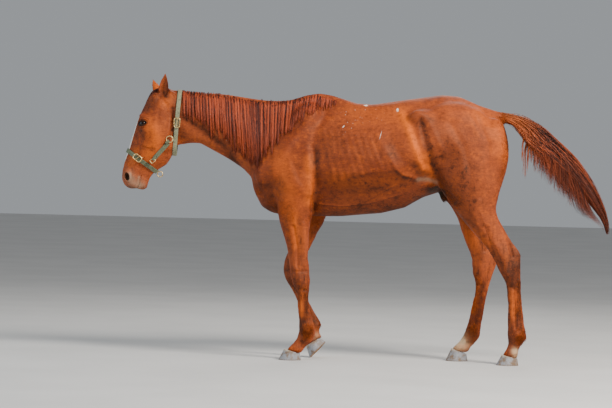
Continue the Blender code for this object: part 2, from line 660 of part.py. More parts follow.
def above_coronet(name, settings, helpers):
    """A large cutter that holds everything above a hoof's coronet."""
    toe_x, middle_y, toe_height, lift, turn = settings
    front = np.array((HOOF_TOP["front"], toe_height))
    back = np.array((HOOF_TOP["back"], HOOF_TOP["heel_height"]))
    along = (back - front) / np.linalg.norm(back - front)
    rise = np.array((-along[1], along[0]))
    start = front + rise * GAP
    corners = (start - along * 0.6, start + along * 0.6, start + along * 0.6 + rise * 1.2,
               start - along * 0.6 + rise * 1.2)
    cutter = prism("above_" + name, corners, -TOTAL_SPAN, TOTAL_SPAN, helpers)
    placed = hoof_place([vertex.co for vertex in cutter.data.vertices], toe_x, middle_y, lift, turn)
    for vertex, point in zip(cutter.data.vertices, placed):
        vertex.co = point
    return cutter


def ear(name, settings, head, groups, shade):
    """A cupped ear, trimmed where it grows out of the head."""
    horse, helpers = groups
    base, tip, opens = (Vector(value) for value in settings)
    length = (tip - base).length
    up = (tip - base).normalized()
    mouth = (opens - up * opens.dot(up)).normalized()
    across = up.cross(mouth)
    rings = []
    steps = len(EAR_PROFILE) - 1
    for step, profile in enumerate(EAR_PROFILE):
        share = step / steps
        middle = base + up * (length * share)
        half = EAR_WIDTH * profile / 2
        cup = EAR_CUP * profile * (1 - 0.35 * share)
        wall = min(EAR_WALL, half * 0.55)
        shares = [2 * index / (EAR_COLUMNS - 1) - 1 for index in range(EAR_COLUMNS)]
        turns = [math.radians(EAR_SWEEP * side) for side in shares]
        outer = [middle + across * (half * math.sin(turn)) - mouth * (cup * math.cos(turn) - cup / 2)
                 for turn in turns]
        inner = [middle + across * ((half - wall) * math.sin(turn))
                 - mouth * ((cup - wall) * math.cos(turn) - cup / 2) for turn in reversed(turns[1:-1])]
        rings.append(outer + inner)
    node = loft(name, rings, horse)
    carve(node, swollen(head, "round_" + name, GAP, helpers), "DIFFERENCE")
    largest_body(node)
    node.data.materials.append(shade)
    return node


def surface_y(trees, x, z, side):
    """How far out the surface lies at x, z, as seen from one side; side is -1 on the left."""
    reach = 0.0
    for tree in trees:
        hit = tree.ray_cast(Vector((x, side * 1.0, z)), Vector((0.0, -side, 0.0)))[0]
        if hit is not None:
            reach = max(reach, hit.y * side)
    return reach


def eye(name, side, head, groups, shade):
    """The eyeball, and the socket cut for it in the head."""
    horse, helpers = groups
    radius = EYE["radius"]
    middle = surface_y([tree_of(head)], EYE["x"], EYE["z"], side) + EYE["proud"] - radius
    centre = (EYE["x"], middle, EYE["z"])
    socket = ball("socket_" + name, centre, (radius + GAP,) * 3, 0, side, helpers, EYE["segments"])
    carve(head, socket, "DIFFERENCE")
    node = ball(name, centre, (radius,) * 3, 0, side, horse, EYE["segments"])
    node.data.materials.append(shade)
    return node


def nostril(side, head, helpers):
    """A pocket in the side of the muzzle."""
    out = surface_y([tree_of(head)], NOSTRIL["x"], NOSTRIL["z"], side)
    place = (NOSTRIL["x"], out, NOSTRIL["z"])
    pocket = ball("pocket", place, NOSTRIL["radii"], NOSTRIL["lean"], side, helpers, NOSTRIL["segments"])
    return carve(head, pocket, "DIFFERENCE")


def tree_of(item):
    return BVHTree.FromPolygons([vertex.co.copy() for vertex in item.data.vertices],
                                [tuple(face.vertices) for face in item.data.polygons])


def mane(body, groups, shade):
    """The hair on the left of the neck: one layer from just past the crest down to its lower edge."""
    horse, helpers = groups
    tree = tree_of(body)
    rings = []
    for station in range(MANE_STATIONS):
        edge = curve_through(MANE_EDGE, station / (MANE_STATIONS - 1))
        centre = Vector((edge[0], 0.0, edge[1]))
        height = (tree.ray_cast(centre, Vector((0.0, 0.0, 1.0)))[0] - centre).length
        sweep = math.pi / 2 + math.atan2(MANE_PAST_CREST, height)
        outer, inner = [], []
        for spot in range(MANE_SPOTS):
            turn = math.pi - sweep * spot / (MANE_SPOTS - 1)
            way = Vector((0.0, math.cos(turn), math.sin(turn)))
            reach = (tree.ray_cast(centre, way)[0] - centre).length
            outer.append(centre + way * (reach + MANE_DEPTH))
            inner.append(centre + way * (reach - MANE_ROOT))
        rings.append(outer + inner[::-1])
    node = loft("mane", rings, horse)
    carve(node, swollen(body, "under_mane", GAP, helpers), "DIFFERENCE")
    largest_body(node)
    node.data.materials.append(shade)
    return node


def hull(points):
    """The convex hull of points in a plane, anticlockwise."""
    points = sorted(set((round(float(u), 6), round(float(v), 6)) for u, v in points))

    def half(ordered):
        kept = []
        for point in ordered:
            while len(kept) > 1 and ((kept[-1][0] - kept[-2][0]) * (point[1] - kept[-2][1])
                                     - (kept[-1][1] - kept[-2][1]) * (point[0] - kept[-2][0])) <= 0:
                kept.pop()
            kept.append(point)
        return kept[:-1]
    return half(points) + half(points[::-1])


def reach_of(corners, turn):
    """How far a convex outline round the origin reaches in one direction."""
    way = np.array((math.cos(turn), math.sin(turn)))
    best = 0.0
    for start, end in zip(corners, corners[1:] + corners[:1]):
        start, end = np.array(start), np.array(end)
        edge = end - start
        cross = way[0] * edge[1] - way[1] * edge[0]
        if abs(cross) < 1e-12:
            continue
        distance = (start[0] * edge[1] - start[1] * edge[0]) / cross
        along = (start[0] * way[1] - start[1] * way[0]) / cross
        if distance > 0 and -1e-6 <= along <= 1 + 1e-6:
            best = max(best, distance)
    return best


def cut_points(sources, point, normal):
    """Where the plane through point crosses the surfaces of the sources."""
    found = []
    for source in sources:
        shape = bmesh.new()
        shape.from_mesh(source.data)
        everything = shape.verts[:] + shape.edges[:] + shape.faces[:]
        cut = bmesh.ops.bisect_plane(shape, geom=everything, plane_co=point, plane_no=normal)["geom_cut"]
        found += [item.co.copy() for item in cut if isinstance(item, bmesh.types.BMVert)]
        shape.free()
    return found


def turns_of(outlines):
    """The directions of the corners of some convex outlines round the origin, without near repeats."""
    found = sorted(math.atan2(v, u) for outline in outlines for u, v in outline)
    kept = found[:1]
    for turn in found[1:]:
        if turn - kept[-1] > LEAST_TURN and kept[0] + 2 * math.pi - turn > LEAST_TURN:
            kept.append(turn)
    return kept


def band(name, settings, sources, horse, shade):
    """A strap right round the head: webbing stretched over the hull of what it encloses."""
    point = Vector((settings["point"][0], 0.0, settings["point"][1]))
    normal = Vector((settings["normal"][0], 0.0, settings["normal"][1])).normalized()
    rise = Vector((0.0, 1.0, 0.0)).cross(normal)

    def flat(places):
        return [(place.y, (place - point).dot(rise)) for place in places]
    shifts = [WEB_WIDTH * step / (2 * BAND_CUTS) for step in range(-BAND_CUTS, BAND_CUTS + 1)]
    cuts = [flat(cut_points(sources, point + normal * shift, normal)) for shift in shifts]
    slack = flat([Vector((point.x, y, z)) for y, z in settings["slack"]])
    spans = (cuts[:BAND_CUTS + 1], cuts[BAND_CUTS:]) if settings["tapers"] else (cuts, cuts)
    low, high = (hull(sum(span, []) + slack) for span in spans)
    rings = []
    for turn in turns_of((low, high)):
        ring = []
        for outline, shift, extra in ((low, -0.5, WEB_CLEAR), (high, 0.5, WEB_CLEAR),
                                      (high, 0.5, WEB_CLEAR + WEB_THICK),
                                      (low, -0.5, WEB_CLEAR + WEB_THICK)):
            distance = reach_of(outline, turn) + extra
            out = Vector((0.0, math.cos(turn) * distance, 0.0)) + rise * (math.sin(turn) * distance)
            ring.append(point + normal * (WEB_WIDTH * shift) + out)
        rings.append(ring)
    return closed_ring(name, rings, horse, shade)


def closed_ring(name, rings, group, shade):
    """A solid through rings of corners that come back to the first one."""
    shape = bmesh.new()
    rows = [[shape.verts.new(point) for point in ring] for ring in rings]
    for here, after in zip(rows, rows[1:] + rows[:1]):
        for index in range(len(here)):
            up = (index + 1) % len(here)
            shape.faces.new((here[index], here[up], after[up], after[index]))
    bmesh.ops.triangulate(shape, faces=shape.faces)
    bmesh.ops.recalc_face_normals(shape, faces=shape.faces)
    mesh = bpy.data.meshes.new(name)
    shape.to_mesh(mesh)
    shape.free()
    node = to_object(name, mesh, group)
    node.data.materials.append(shade)
    return node


def cheek_strap(name, side, trees, horse, shade):
    """The short strap on the cheek between the round ring and the square one."""
    start, end = (np.array(point) for point in CHEEK_STRAP)
    along = (end - start) / np.linalg.norm(end - start)
    across = np.array((-along[1], along[0])) * WEB_WIDTH / 2
    rings = []
    for step in range(STRAP_STEPS):
        middle = start + (end - start) * step / (STRAP_STEPS - 1)
        ring = []
        places = [middle + across * share for share in (-1.0, -0.5, 0.0, 0.5, 1.0)]
        reach = max(surface_y(trees, *place, side) for place in places)
        for share, extra in ((-1, WEB_CLEAR), (1, WEB_CLEAR), (1, WEB_CLEAR + WEB_THICK),
                             (-1, WEB_CLEAR + WEB_THICK)):
            spot = middle + across * share
            ring.append((spot[0], side * (reach + extra), spot[1]))
        rings.append(ring)
    node = loft(name, rings, horse)
    node.data.materials.append(shade)
    return node


def torus(name, settings, horse):
    """A ring of round wire about the Z axis, at the origin."""
    bpy.ops.mesh.primitive_torus_add(major_segments=14, minor_segments=5,
                                     major_radius=settings["radius"], minor_radius=settings["wire"])
    made = bpy.context.object
    for owner in list(made.users_collection):
        owner.objects.unlink(made)
    horse.objects.link(made)
    made.name = name
    return made


def buckle_frame(name, settings, horse, shade):
    """A frame of round wire with cut corners in the XY plane, at the origin."""
    wire = settings["wire"]
    wide, tall = (value / 2 - wire for value in settings["size"])
    bevel = 0.3 * min(wide, tall)
    path = [(wide, -tall + bevel), (wide, tall - bevel), (wide - bevel, tall), (-wide + bevel, tall),
            (-wide, tall - bevel), (-wide, -tall + bevel), (-wide + bevel, -tall), (wide - bevel, -tall)]
    rings = []
    for u, v in path:
        out = Vector((u, v, 0.0)).normalized()
        turns = [2 * math.pi * index / 6 for index in range(6)]
        rings.append([Vector((u, v, 0.0)) + out * (wire * math.cos(t))
                      + Vector((0.0, 0.0, wire * math.sin(t))) for t in turns])
    return closed_ring(name, rings, horse, shade)


def wire_loop(name, settings, side, reach, horse, shade):
    """A brass ring or buckle frame that lies flat against the side of the head."""
    if "radius" in settings:
        node = torus(name, settings, horse)
    else:
        node = buckle_frame(name, settings, horse, shade)
    turn = Matrix.Rotation(math.radians(settings.get("turn", 0)), 4, "Y")
    stand = Matrix.Rotation(math.radians(90), 4, "X")
    out = side * (reach + settings["wire"] + WEB_CLEAR)
    node.data.transform(Matrix.Translation((settings["x"], out, settings["z"])) @ turn @ stand)
    node.data.materials.clear()
    node.data.materials.append(shade)
    return node


def chin_ring(noseband, horse, shade):
    """The ring that hangs from the noseband under the chin, in the middle plane."""
    point = Vector((NOSEBAND["point"][0], 0.0, NOSEBAND["point"][1]))
    down = Vector((NOSEBAND["normal"][1], 0.0, -NOSEBAND["normal"][0])).normalized()
    strap = tree_of(noseband).ray_cast(point + down, -down)[0]
    centre = strap + down * (CHIN_RING["radius"] + CHIN_RING["wire"] + LIFT)
    node = torus("halter_chin_ring", CHIN_RING, horse)
    node.data.transform(Matrix.Translation(centre) @ Matrix.Rotation(math.radians(90), 4, "X"))
    node.data.materials.append(shade)
    return node


def loop_reach(trees, settings, side):
    """How far out the highest surface under a ring or buckle lies."""
    if "radius" in settings:
        wide = tall = settings["radius"] + settings["wire"]
    else:
        wide, tall = (value / 2 for value in settings["size"])
    turn = math.radians(settings.get("turn", 0))
    reaches = []
    inner = 1 - 2 * settings["wire"] / min(wide, tall)
    for step in range(LOOP_STEPS):
        around = 2 * math.pi * step / LOOP_STEPS
        for share in (inner, 1.0):
            u, v = share * wide * math.cos(around), share * tall * math.sin(around)
            x = settings["x"] + u * math.cos(turn) + v * math.sin(turn)
            z = settings["z"] - u * math.sin(turn) + v * math.cos(turn)
            reaches.append(surface_y(trees, x, z, side))
    return max(reaches)


def halter(head, neck, horse, shades):
    """Headcollar of flat webbing with brass rings and buckles."""
    webbing, brass = shades
    near = [tree_of(head), tree_of(neck)]
    straps = [band("halter_crown", CROWN, (head, neck), horse, webbing),
              band("halter_noseband", NOSEBAND, (head,), horse, webbing)]
    for side, word in ((-1, "left"), (1, "right")):
        straps.append(cheek_strap("halter_cheek_" + word, side, near, horse, webbing))
        for kind, settings in (("ring", CHEEK_RING), ("square", NOSE_SQUARE)):
            reach = loop_reach(near + [tree_of(strap) for strap in straps], settings, side)
            wire_loop("halter_" + kind + "_" + word, settings, side, reach + LIFT, horse, brass)
    for name, settings in (("halter_crown_buckle", CROWN_BUCKLE), ("halter_nose_buckle", NOSE_BUCKLE)):
        reach = loop_reach(near + [tree_of(strap) for strap in straps], settings, -1)
        wire_loop(name, settings, -1, reach + LIFT, horse, brass)
    chin_ring(straps[1], horse, brass)


def stand_on_origin(items):
    """Moves the model so that the middle of its footprint, at floor level, is the origin."""
    points = np.array([vertex.co for item in items for vertex in item.data.vertices])
    low, high = points.min(axis=0), points.max(axis=0)
    move = Vector(((low[0] + high[0]) / -2, (low[1] + high[1]) / -2, -low[2]))
    for item in items:
        item.data.transform(Matrix.Translation(move))


def main():
    clear_scene()
    horse = collection("horse")
    helpers = collection("helpers")
    groups = (horse, helpers)
    shades = {
        "coat": material("coat", COLOURS["coat"], 0.55),
        "mane": material("mane", COLOURS["mane"], 0.50),
        "hoof": material("hoof", COLOURS["hoof"], 0.60),
        "eye": material("eye", COLOURS["eye"], 0.10),
        "webbing": material("webbing", COLOURS["webbing"], 0.80),
        "brass": material("brass", COLOURS["brass"], 0.30, 1.0),
    }
    body = thin_out(fused_flesh(helpers))
    outlines = block_outlines()
    head = flesh_node("head", body, outlines["head"], 0, groups, shades["coat"])
    neck = flesh_node("neck", body, outlines["neck"], 0, groups, shades["coat"])
    flesh_node("trunk", body, outlines["trunk"], 0, groups, shades["coat"])
    flesh_node("tail", body, outlines["tail"], 0, groups, shades["mane"])
    for end in ("fore", "hind"):
        for side, word in ((-1, "left"), (1, "right")):
            leg = flesh_node(end + "_leg_" + word, body, outlines[end], side, groups, shades["coat"])
            name = "hoof_" + end + "_" + word
            carve(leg, above_coronet(name, HOOVES[name], helpers), "INTERSECT")
            largest_body(leg)
            hoof(name, HOOVES[name], groups, shades["hoof"])
    for name, settings in EARS.items():
        ear(name, settings, head, groups, shades["coat"])
    for side, word in ((-1, "left"), (1, "right")):
        eye("eye_" + word, side, head, groups, shades["eye"])
        nostril(side, head, helpers)
    mane(body, groups, shades["mane"])
    halter(head, neck, horse, (shades["webbing"], shades["brass"]))
    for item in helpers.objects:
        item.hide_render = True
        item.display_type = "WIRE"
    for item in horse.objects:
        tidy_mesh(item)
    stand_on_origin(horse.objects)


main()
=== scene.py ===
# A chestnut riding horse in a webbing headcollar, as a museum model, with its light and camera
import math

import bpy
import bmesh
import numpy as np
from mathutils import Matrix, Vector
from mathutils.bvhtree import BVHTree


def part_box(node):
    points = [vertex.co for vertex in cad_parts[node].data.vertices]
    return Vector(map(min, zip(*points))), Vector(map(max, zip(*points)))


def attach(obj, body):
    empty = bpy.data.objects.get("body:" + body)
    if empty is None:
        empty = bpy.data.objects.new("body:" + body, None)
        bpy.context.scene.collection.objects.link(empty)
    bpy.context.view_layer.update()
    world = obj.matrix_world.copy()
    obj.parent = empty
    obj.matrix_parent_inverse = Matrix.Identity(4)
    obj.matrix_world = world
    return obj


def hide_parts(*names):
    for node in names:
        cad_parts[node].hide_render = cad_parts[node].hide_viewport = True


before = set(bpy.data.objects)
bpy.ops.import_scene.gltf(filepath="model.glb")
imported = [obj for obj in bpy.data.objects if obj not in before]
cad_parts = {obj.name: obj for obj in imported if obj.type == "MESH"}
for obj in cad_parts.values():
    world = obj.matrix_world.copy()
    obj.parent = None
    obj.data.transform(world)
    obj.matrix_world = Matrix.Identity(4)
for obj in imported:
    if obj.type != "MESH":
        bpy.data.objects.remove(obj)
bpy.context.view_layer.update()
dice = np.random.default_rng(29)

fleshNodes = ["trunk", "neck", "head", "ear_left", "ear_right",
              "fore_leg_left", "fore_leg_right", "hind_leg_left", "hind_leg_right"]
hoofNodes = ["hoof_fore_left", "hoof_fore_right", "hoof_hind_left", "hoof_hind_right"]


def deselectAll():
    bpy.ops.object.select_all(action="DESELECT")


def makeActive(piece):
    deselectAll()
    piece.select_set(True)
    bpy.context.view_layer.objects.active = piece


def edited(piece, *steps):
    # runs edit-mode operators, each with its values, on the whole of a piece
    makeActive(piece)
    bpy.ops.object.mode_set(mode="EDIT")
    bpy.ops.mesh.select_all(action="SELECT")
    for operator, values in steps:
        operator(**values)
    bpy.ops.object.mode_set(mode="OBJECT")


def applyModifier(piece, kind, **values):
    makeActive(piece)
    modifier = piece.modifiers.new(kind.lower(), kind)
    for name, value in values.items():
        setattr(modifier, name, value)
    bpy.ops.object.modifier_apply(modifier=modifier.name)


def joined(pieces, name):
    deselectAll()
    for piece in pieces:
        piece.select_set(True)
    bpy.context.view_layer.objects.active = pieces[0]
    bpy.ops.object.join()
    pieces[0].name = name
    return pieces[0]


def nodeCopy(node, name):
    # a merged copy of a CAD node, as a piece of its own
    piece = bpy.data.objects.new(name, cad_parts[node].data.copy())
    piece.data.name = name
    bpy.context.scene.collection.objects.link(piece)
    piece.data.materials.clear()
    edited(piece, (bpy.ops.mesh.remove_doubles, {"threshold": 0.00002}),
           (bpy.ops.mesh.normals_make_consistent, {"inside": False}))
    return piece


def arrayOf(items, key, width=1, kind=np.float32):
    # what a mesh's points, edges, faces or corners say under a key, one row each
    values = np.empty(len(items) * width, kind)
    items.foreach_get(key, values)
    return values.reshape(-1, width) if width > 1 else values


def pointsOf(mesh):
    return arrayOf(mesh.vertices, "co", 3).astype(float)


def normalsOf(mesh):
    return arrayOf(mesh.vertex_normals, "vector", 3).astype(float)


def edgesOf(mesh):
    return arrayOf(mesh.edges, "vertices", 2, np.int32)


def cornersOf(mesh):
    return arrayOf(mesh.loops, "vertex_index", 1, np.int32)


def setPoints(mesh, points):
    mesh.vertices.foreach_set("co", points.astype(np.float32).ravel())
    mesh.update()


def setAttribute(mesh, name, values):
    # one number, vector or colour a point, by how many numbers each point has
    values = np.asarray(values, np.float32)
    kind, key = {0: ("FLOAT", "value"), 3: ("FLOAT_VECTOR", "vector"), 4: ("FLOAT_COLOR", "color")}[
        values.shape[1] if values.ndim == 2 else 0]
    mesh.attributes.new(name, kind, "POINT").data.foreach_set(key, values.ravel())


def setMap(mesh, name, places):
    # a UV map, one place a corner
    mesh.uv_layers.new(name=name).uv.foreach_set("vector", places.astype(np.float32).ravel())


def smoothed(values, edges, share, rounds):
    # moves each value towards the mean of its neighbours, share of the way, round after round
    count = len(values)
    ends = np.concatenate((edges[:, 0], edges[:, 1]))
    others = np.concatenate((edges[:, 1], edges[:, 0]))
    degree = np.maximum(np.bincount(ends, minlength=count), 1)
    values = values.copy()
    for step in range(rounds):
        for axis in range(values.shape[1]):
            near = np.bincount(ends, weights=values[others, axis], minlength=count) / degree
            values[:, axis] += share * (near - values[:, axis])
    return values


def ramp(values, start, end):
    share = np.clip((values - start) / (end - start), 0.0, 1.0)
    return share * share * (3 - 2 * share)


def unit(vectors):
    return vectors / np.maximum(np.linalg.norm(vectors, axis=-1, keepdims=True), 1e-9)


def treeOf(piece):
    return BVHTree.FromObject(piece, bpy.context.evaluated_depsgraph_get())


class Value:
    # a node's output with a maker's arithmetic: each expression adds its Math nodes
    def __init__(self, finish, socket):
        self.finish = finish
        self.socket = socket

    def math(self, operation, *terms):
        return self.finish.node("ShaderNodeMath", {"operation": operation}, list(terms))

    def __add__(self, other):
        return self.math("ADD", self, other)

    def __radd__(self, other):
        return self.math("ADD", other, self)

    def __sub__(self, other):
        return self.math("SUBTRACT", self, other)

    def __rsub__(self, other):
        return self.math("SUBTRACT", other, self)

    def __mul__(self, other):
        return self.math("MULTIPLY", self, other)

    def __rmul__(self, other):
        return self.math("MULTIPLY", other, self)

    def __pow__(self, other):
        return self.math("POWER", self, other)

    def low(self, other):
        return self.math("MINIMUM", self, other)

    def high(self, other):
        return self.math("MAXIMUM", self, other)

    def sine(self):
        return self.math("SINE", self)

    def absolute(self):
        return self.math("ABSOLUTE", self)

    def step(self, start, end):
        # 0 before start, 1 after end, and a smooth rise between
        return self.finish.node("ShaderNodeMapRange", {"interpolation_type": "SMOOTHSTEP"},
                                [self, start, end])


class Finish:
    # one material and the nodes that make it
    def __init__(self, name, **constants):
        self.material = bpy.data.materials.new(name)
        self.material.use_nodes = True
        self.tree = self.material.node_tree
        self.shader = self.tree.nodes["Principled BSDF"]
        for key, value in constants.items():
            self.shader.inputs[key.replace("_", " ")].default_value = value

    def node(self, kind, settings=None, values=(), output=0):
        node = self.tree.nodes.new(kind)
        for key, value in (settings or {}).items():
            setattr(node, key, value)
        pairs = values.items() if isinstance(values, dict) else enumerate(values)
        for key, value in pairs:
            self.feed(node.inputs[key], value)
        return Value(self, node.outputs[output])

    def feed(self, socket, value):
        if isinstance(value, Value):
            self.tree.links.new(value.socket, socket)
        elif value is not None:
            socket.default_value = value

    def place(self):
        return self.node("ShaderNodeTexCoord", output="Object")

    def axes(self, vector):
        split = self.node("ShaderNodeSeparateXYZ", values=[vector])
        return [Value(self, output) for output in split.socket.node.outputs]

    def attribute(self, name, output="Fac"):
        return self.node("ShaderNodeAttribute", {"attribute_name": name}, output=output)

    def noise(self, vector, scale, detail=3.0, roughness=0.5, output=0):
        values = {"Vector": vector, "Scale": scale, "Detail": detail, "Roughness": roughness}
        return self.node("ShaderNodeTexNoise", values=values, output=output)

    def streaks(self, vector, scale, detail=3.0, roughness=0.5, angles=(0.0, 0.0, 0.0)):
        # noise drawn out along one way or two: cells a metre on each axis
        return self.noise(self.turned(vector, angles=angles, scale=scale), 1.0, detail, roughness)

    def turned(self, vector, angles=(0.0, 0.0, 0.0), scale=(1.0, 1.0, 1.0), shift=(0.0, 0.0, 0.0)):
        return self.node("ShaderNodeMapping", values=[vector, shift, angles, scale])

    def mix(self, share, low, high):
        # a mix of two colours
        low, high = ((*colour, 1.0) if isinstance(colour, tuple) else colour for colour in (low, high))
        return self.node("ShaderNodeMix", {"data_type": "RGBA"}, {0: share, 6: low, 7: high}, output=2)

    def bump(self, height, distance, strength=1.0, normal=None):
        return self.node("ShaderNodeBump", values={"Strength": strength, "Distance": distance,
                                                   "Height": height, "Normal": normal})

    def wear(self, colour, roughness=None, normal=None):
        for key, value in (("Base Color", colour), ("Roughness", roughness), ("Normal", normal)):
            self.feed(self.shader.inputs[key], value)
        return self.material


def colourOf(red, green, blue):
    # a linear colour from the eight-bit one that a screen shows
    def linear(level):
        level = level / 255
        return level / 12.92 if level <= 0.04045 else ((level + 0.055) / 1.055) ** 2.4
    return (linear(red), linear(green), linear(blue))


# Skin

skinSettings = {
    "voxel": 0.0042,
    "swell": 0.0005,  # closes the cuts between the nodes
    "coatDepth": 0.002,
    "rounds": 110,
    "trunkShare": 0.4, "legShare": 0.1, "headShare": 0.055, "earShare": 0.004,
    "bodyTriangles": 96000, "headTriangles": 92000,
    "headStart": -1.095, "earStart": -1.155, "dockStart": 0.84, "sheath": (0.457, 0.0, 0.978),
    "faceFormsTo": -1.1, "eyeReach": 0.036, "featureReach": 0.055, "muzzle": (-1.3, 1.075),
}

# Forms under the skin, seen from the side, in metres: side (0 for both), line or spot of (x, z) points,
# half width, height
bodyForms = [
    (0, [(-0.318, 1.24), (-0.3, 1.12), (-0.297, 0.99), (-0.31, 0.88)], 0.02, -0.012),
    (0, [(-0.35, 1.2), (-0.335, 1.08), (-0.332, 0.98)], 0.026, 0.007),
    (0, [(-0.3, 1.47), (-0.38, 1.36), (-0.47, 1.24), (-0.545, 1.13)], 0.02, 0.004),
    (0, [(-0.25, 1.44), (-0.3, 1.36), (-0.318, 1.24)], 0.026, -0.006),
    (0, [(-0.43, 1.16), (-0.4, 1.07), (-0.35, 1.0)], 0.018, -0.004),
    (0, [(0.058, 1.32), (0.098, 1.23), (0.158, 1.14), (0.208, 1.1), (0.278, 1.08)], 0.014, 0.0055),
    (0, [(0.13, 1.33), (0.18, 1.22), (0.24, 1.15)], 0.036, -0.011),
    (0, [(0.188, 1.46), (0.24, 1.34), (0.28, 1.23), (0.318, 1.13)], 0.02, 0.0055),
    (0, [(0.298, 1.43), (0.328, 1.31), (0.378, 1.16), (0.438, 1.05), (0.508, 0.95)], 0.02, -0.012),
    (0, [(0.255, 1.4), (0.29, 1.29), (0.335, 1.17)], 0.022, -0.007),
    (0, [(0.352, 1.41), (0.402, 1.3), (0.452, 1.22)], 0.018, 0.005),
    (0, [(0.345, 1.03), (0.395, 1.05), (0.44, 1.0)], 0.016, 0.004),
    (0, [(0.29, 1.445)], 0.03, 0.01),
    (0, [(0.385, 1.455)], 0.045, -0.007),
    (0, [(0.62, 1.46), (0.7, 1.3), (0.705, 1.12), (0.66, 0.98)], 0.016, -0.005),
    (0, [(0.48, 1.4), (0.56, 1.26), (0.6, 1.1), (0.59, 0.98)], 0.02, -0.004),
    (0, [(0.52, 1.1)], 0.075, 0.006),
    (0, [(-1.07, 1.245), (-0.93, 1.185), (-0.79, 1.11), (-0.68, 1.035)], 0.014, -0.007),
    (0, [(-1.08, 1.39), (-0.96, 1.33), (-0.84, 1.24), (-0.74, 1.12)], 0.02, -0.006),
    (0, [(-1.06, 1.32), (-0.92, 1.25), (-0.78, 1.15), (-0.66, 1.05)], 0.03, 0.005),
    (0, [(-0.56, 1.12), (-0.52, 1.0), (-0.48, 0.92)], 0.02, 0.004),
    (0, [(-0.3, 0.92), (-0.15, 0.905), (0.03, 0.93), (0.2, 0.985)], 0.0055, 0.0022),
    (0, [(-0.02, 0.93), (0.07, 0.985), (0.17, 1.04)], 0.005, 0.0018),
]
ribForms = {"count": 10, "first": -0.262, "gap": 0.0385, "top": 1.36, "topDrop": 0.006, "foot": 1.05,
            "footRise": 0.012, "lean": 0.075, "bow": 0.42, "halfWidth": 0.011, "height": 0.0026}
legForms = [
    (-1, [(-0.405, 0.42), (-0.38, 0.33), (-0.375, 0.24)], 0.0055, -0.0055),
    (-1, [(-0.345, 0.45), (-0.338, 0.36), (-0.338, 0.25)], 0.0065, 0.0042),
    (-1, [(-0.378, 0.462)], 0.028, 0.007),
    (-1, [(-0.44, 0.418), (-0.34, 0.41)], 0.0085, -0.0042),
    (-1, [(-0.44, 0.516), (-0.34, 0.522)], 0.009, -0.0042),
    (-1, [(-0.334, 0.178)], 0.02, 0.006),
    (-1, [(-0.378, 0.215), (-0.362, 0.15)], 0.007, -0.0045),
    (-1, [(-0.42, 0.78), (-0.395, 0.66), (-0.392, 0.55)], 0.011, -0.0085),
    (-1, [(-0.365, 0.8), (-0.352, 0.68), (-0.35, 0.56)], 0.011, 0.0055),
    (-1, [(-0.46, 0.84), (-0.432, 0.7), (-0.428, 0.58)], 0.013, 0.004),
    (1, [(-0.39, 0.42), (-0.34, 0.32), (-0.29, 0.23)], 0.006, -0.0055),
    (1, [(-0.42, 0.78), (-0.41, 0.66), (-0.42, 0.55)], 0.011, -0.008),
    (1, [(-0.432, 0.468)], 0.028, 0.0065),
    (1, [(-0.478, 0.425), (-0.39, 0.405)], 0.0085, -0.0042),
    (1, [(-0.262, 0.185)], 0.02, 0.0055),
    (-1, [(0.88, 0.45), (0.882, 0.33), (0.889, 0.22)], 0.006, -0.006),
    (-1, [(0.901, 0.5), (0.902, 0.34), (0.906, 0.22)], 0.0065, 0.004),
    (-1, [(0.7, 0.8), (0.74, 0.68), (0.79, 0.58)], 0.014, -0.0095),
    (-1, [(0.64, 0.84), (0.69, 0.7), (0.745, 0.58)], 0.012, 0.0045),
    (-1, [(0.79, 0.86), (0.832, 0.74), (0.862, 0.64)], 0.01, -0.0075),
    (-1, [(0.775, 0.47), (0.87, 0.452)], 0.0085, -0.0045),
    (-1, [(0.828, 0.528)], 0.026, 0.007),
    (-1, [(0.885, 0.58)], 0.022, 0.0045),
    (-1, [(0.902, 0.178)], 0.02, 0.0055),
    (1, [(0.668, 0.45), (0.652, 0.32), (0.636, 0.22)], 0.006, -0.006),
    (1, [(0.56, 0.8), (0.575, 0.68), (0.59, 0.58)], 0.014, -0.0085),
    (1, [(0.69, 0.78), (0.712, 0.66)], 0.01, -0.007),
    (1, [(0.65, 0.52)], 0.026, 0.0065),
    (1, [(0.6, 0.47), (0.7, 0.452)], 0.0085, -0.0045),
    (0, [(0.66, 0.9), (0.72, 0.76), (0.77, 0.62)], 0.004, 0.0022),
]
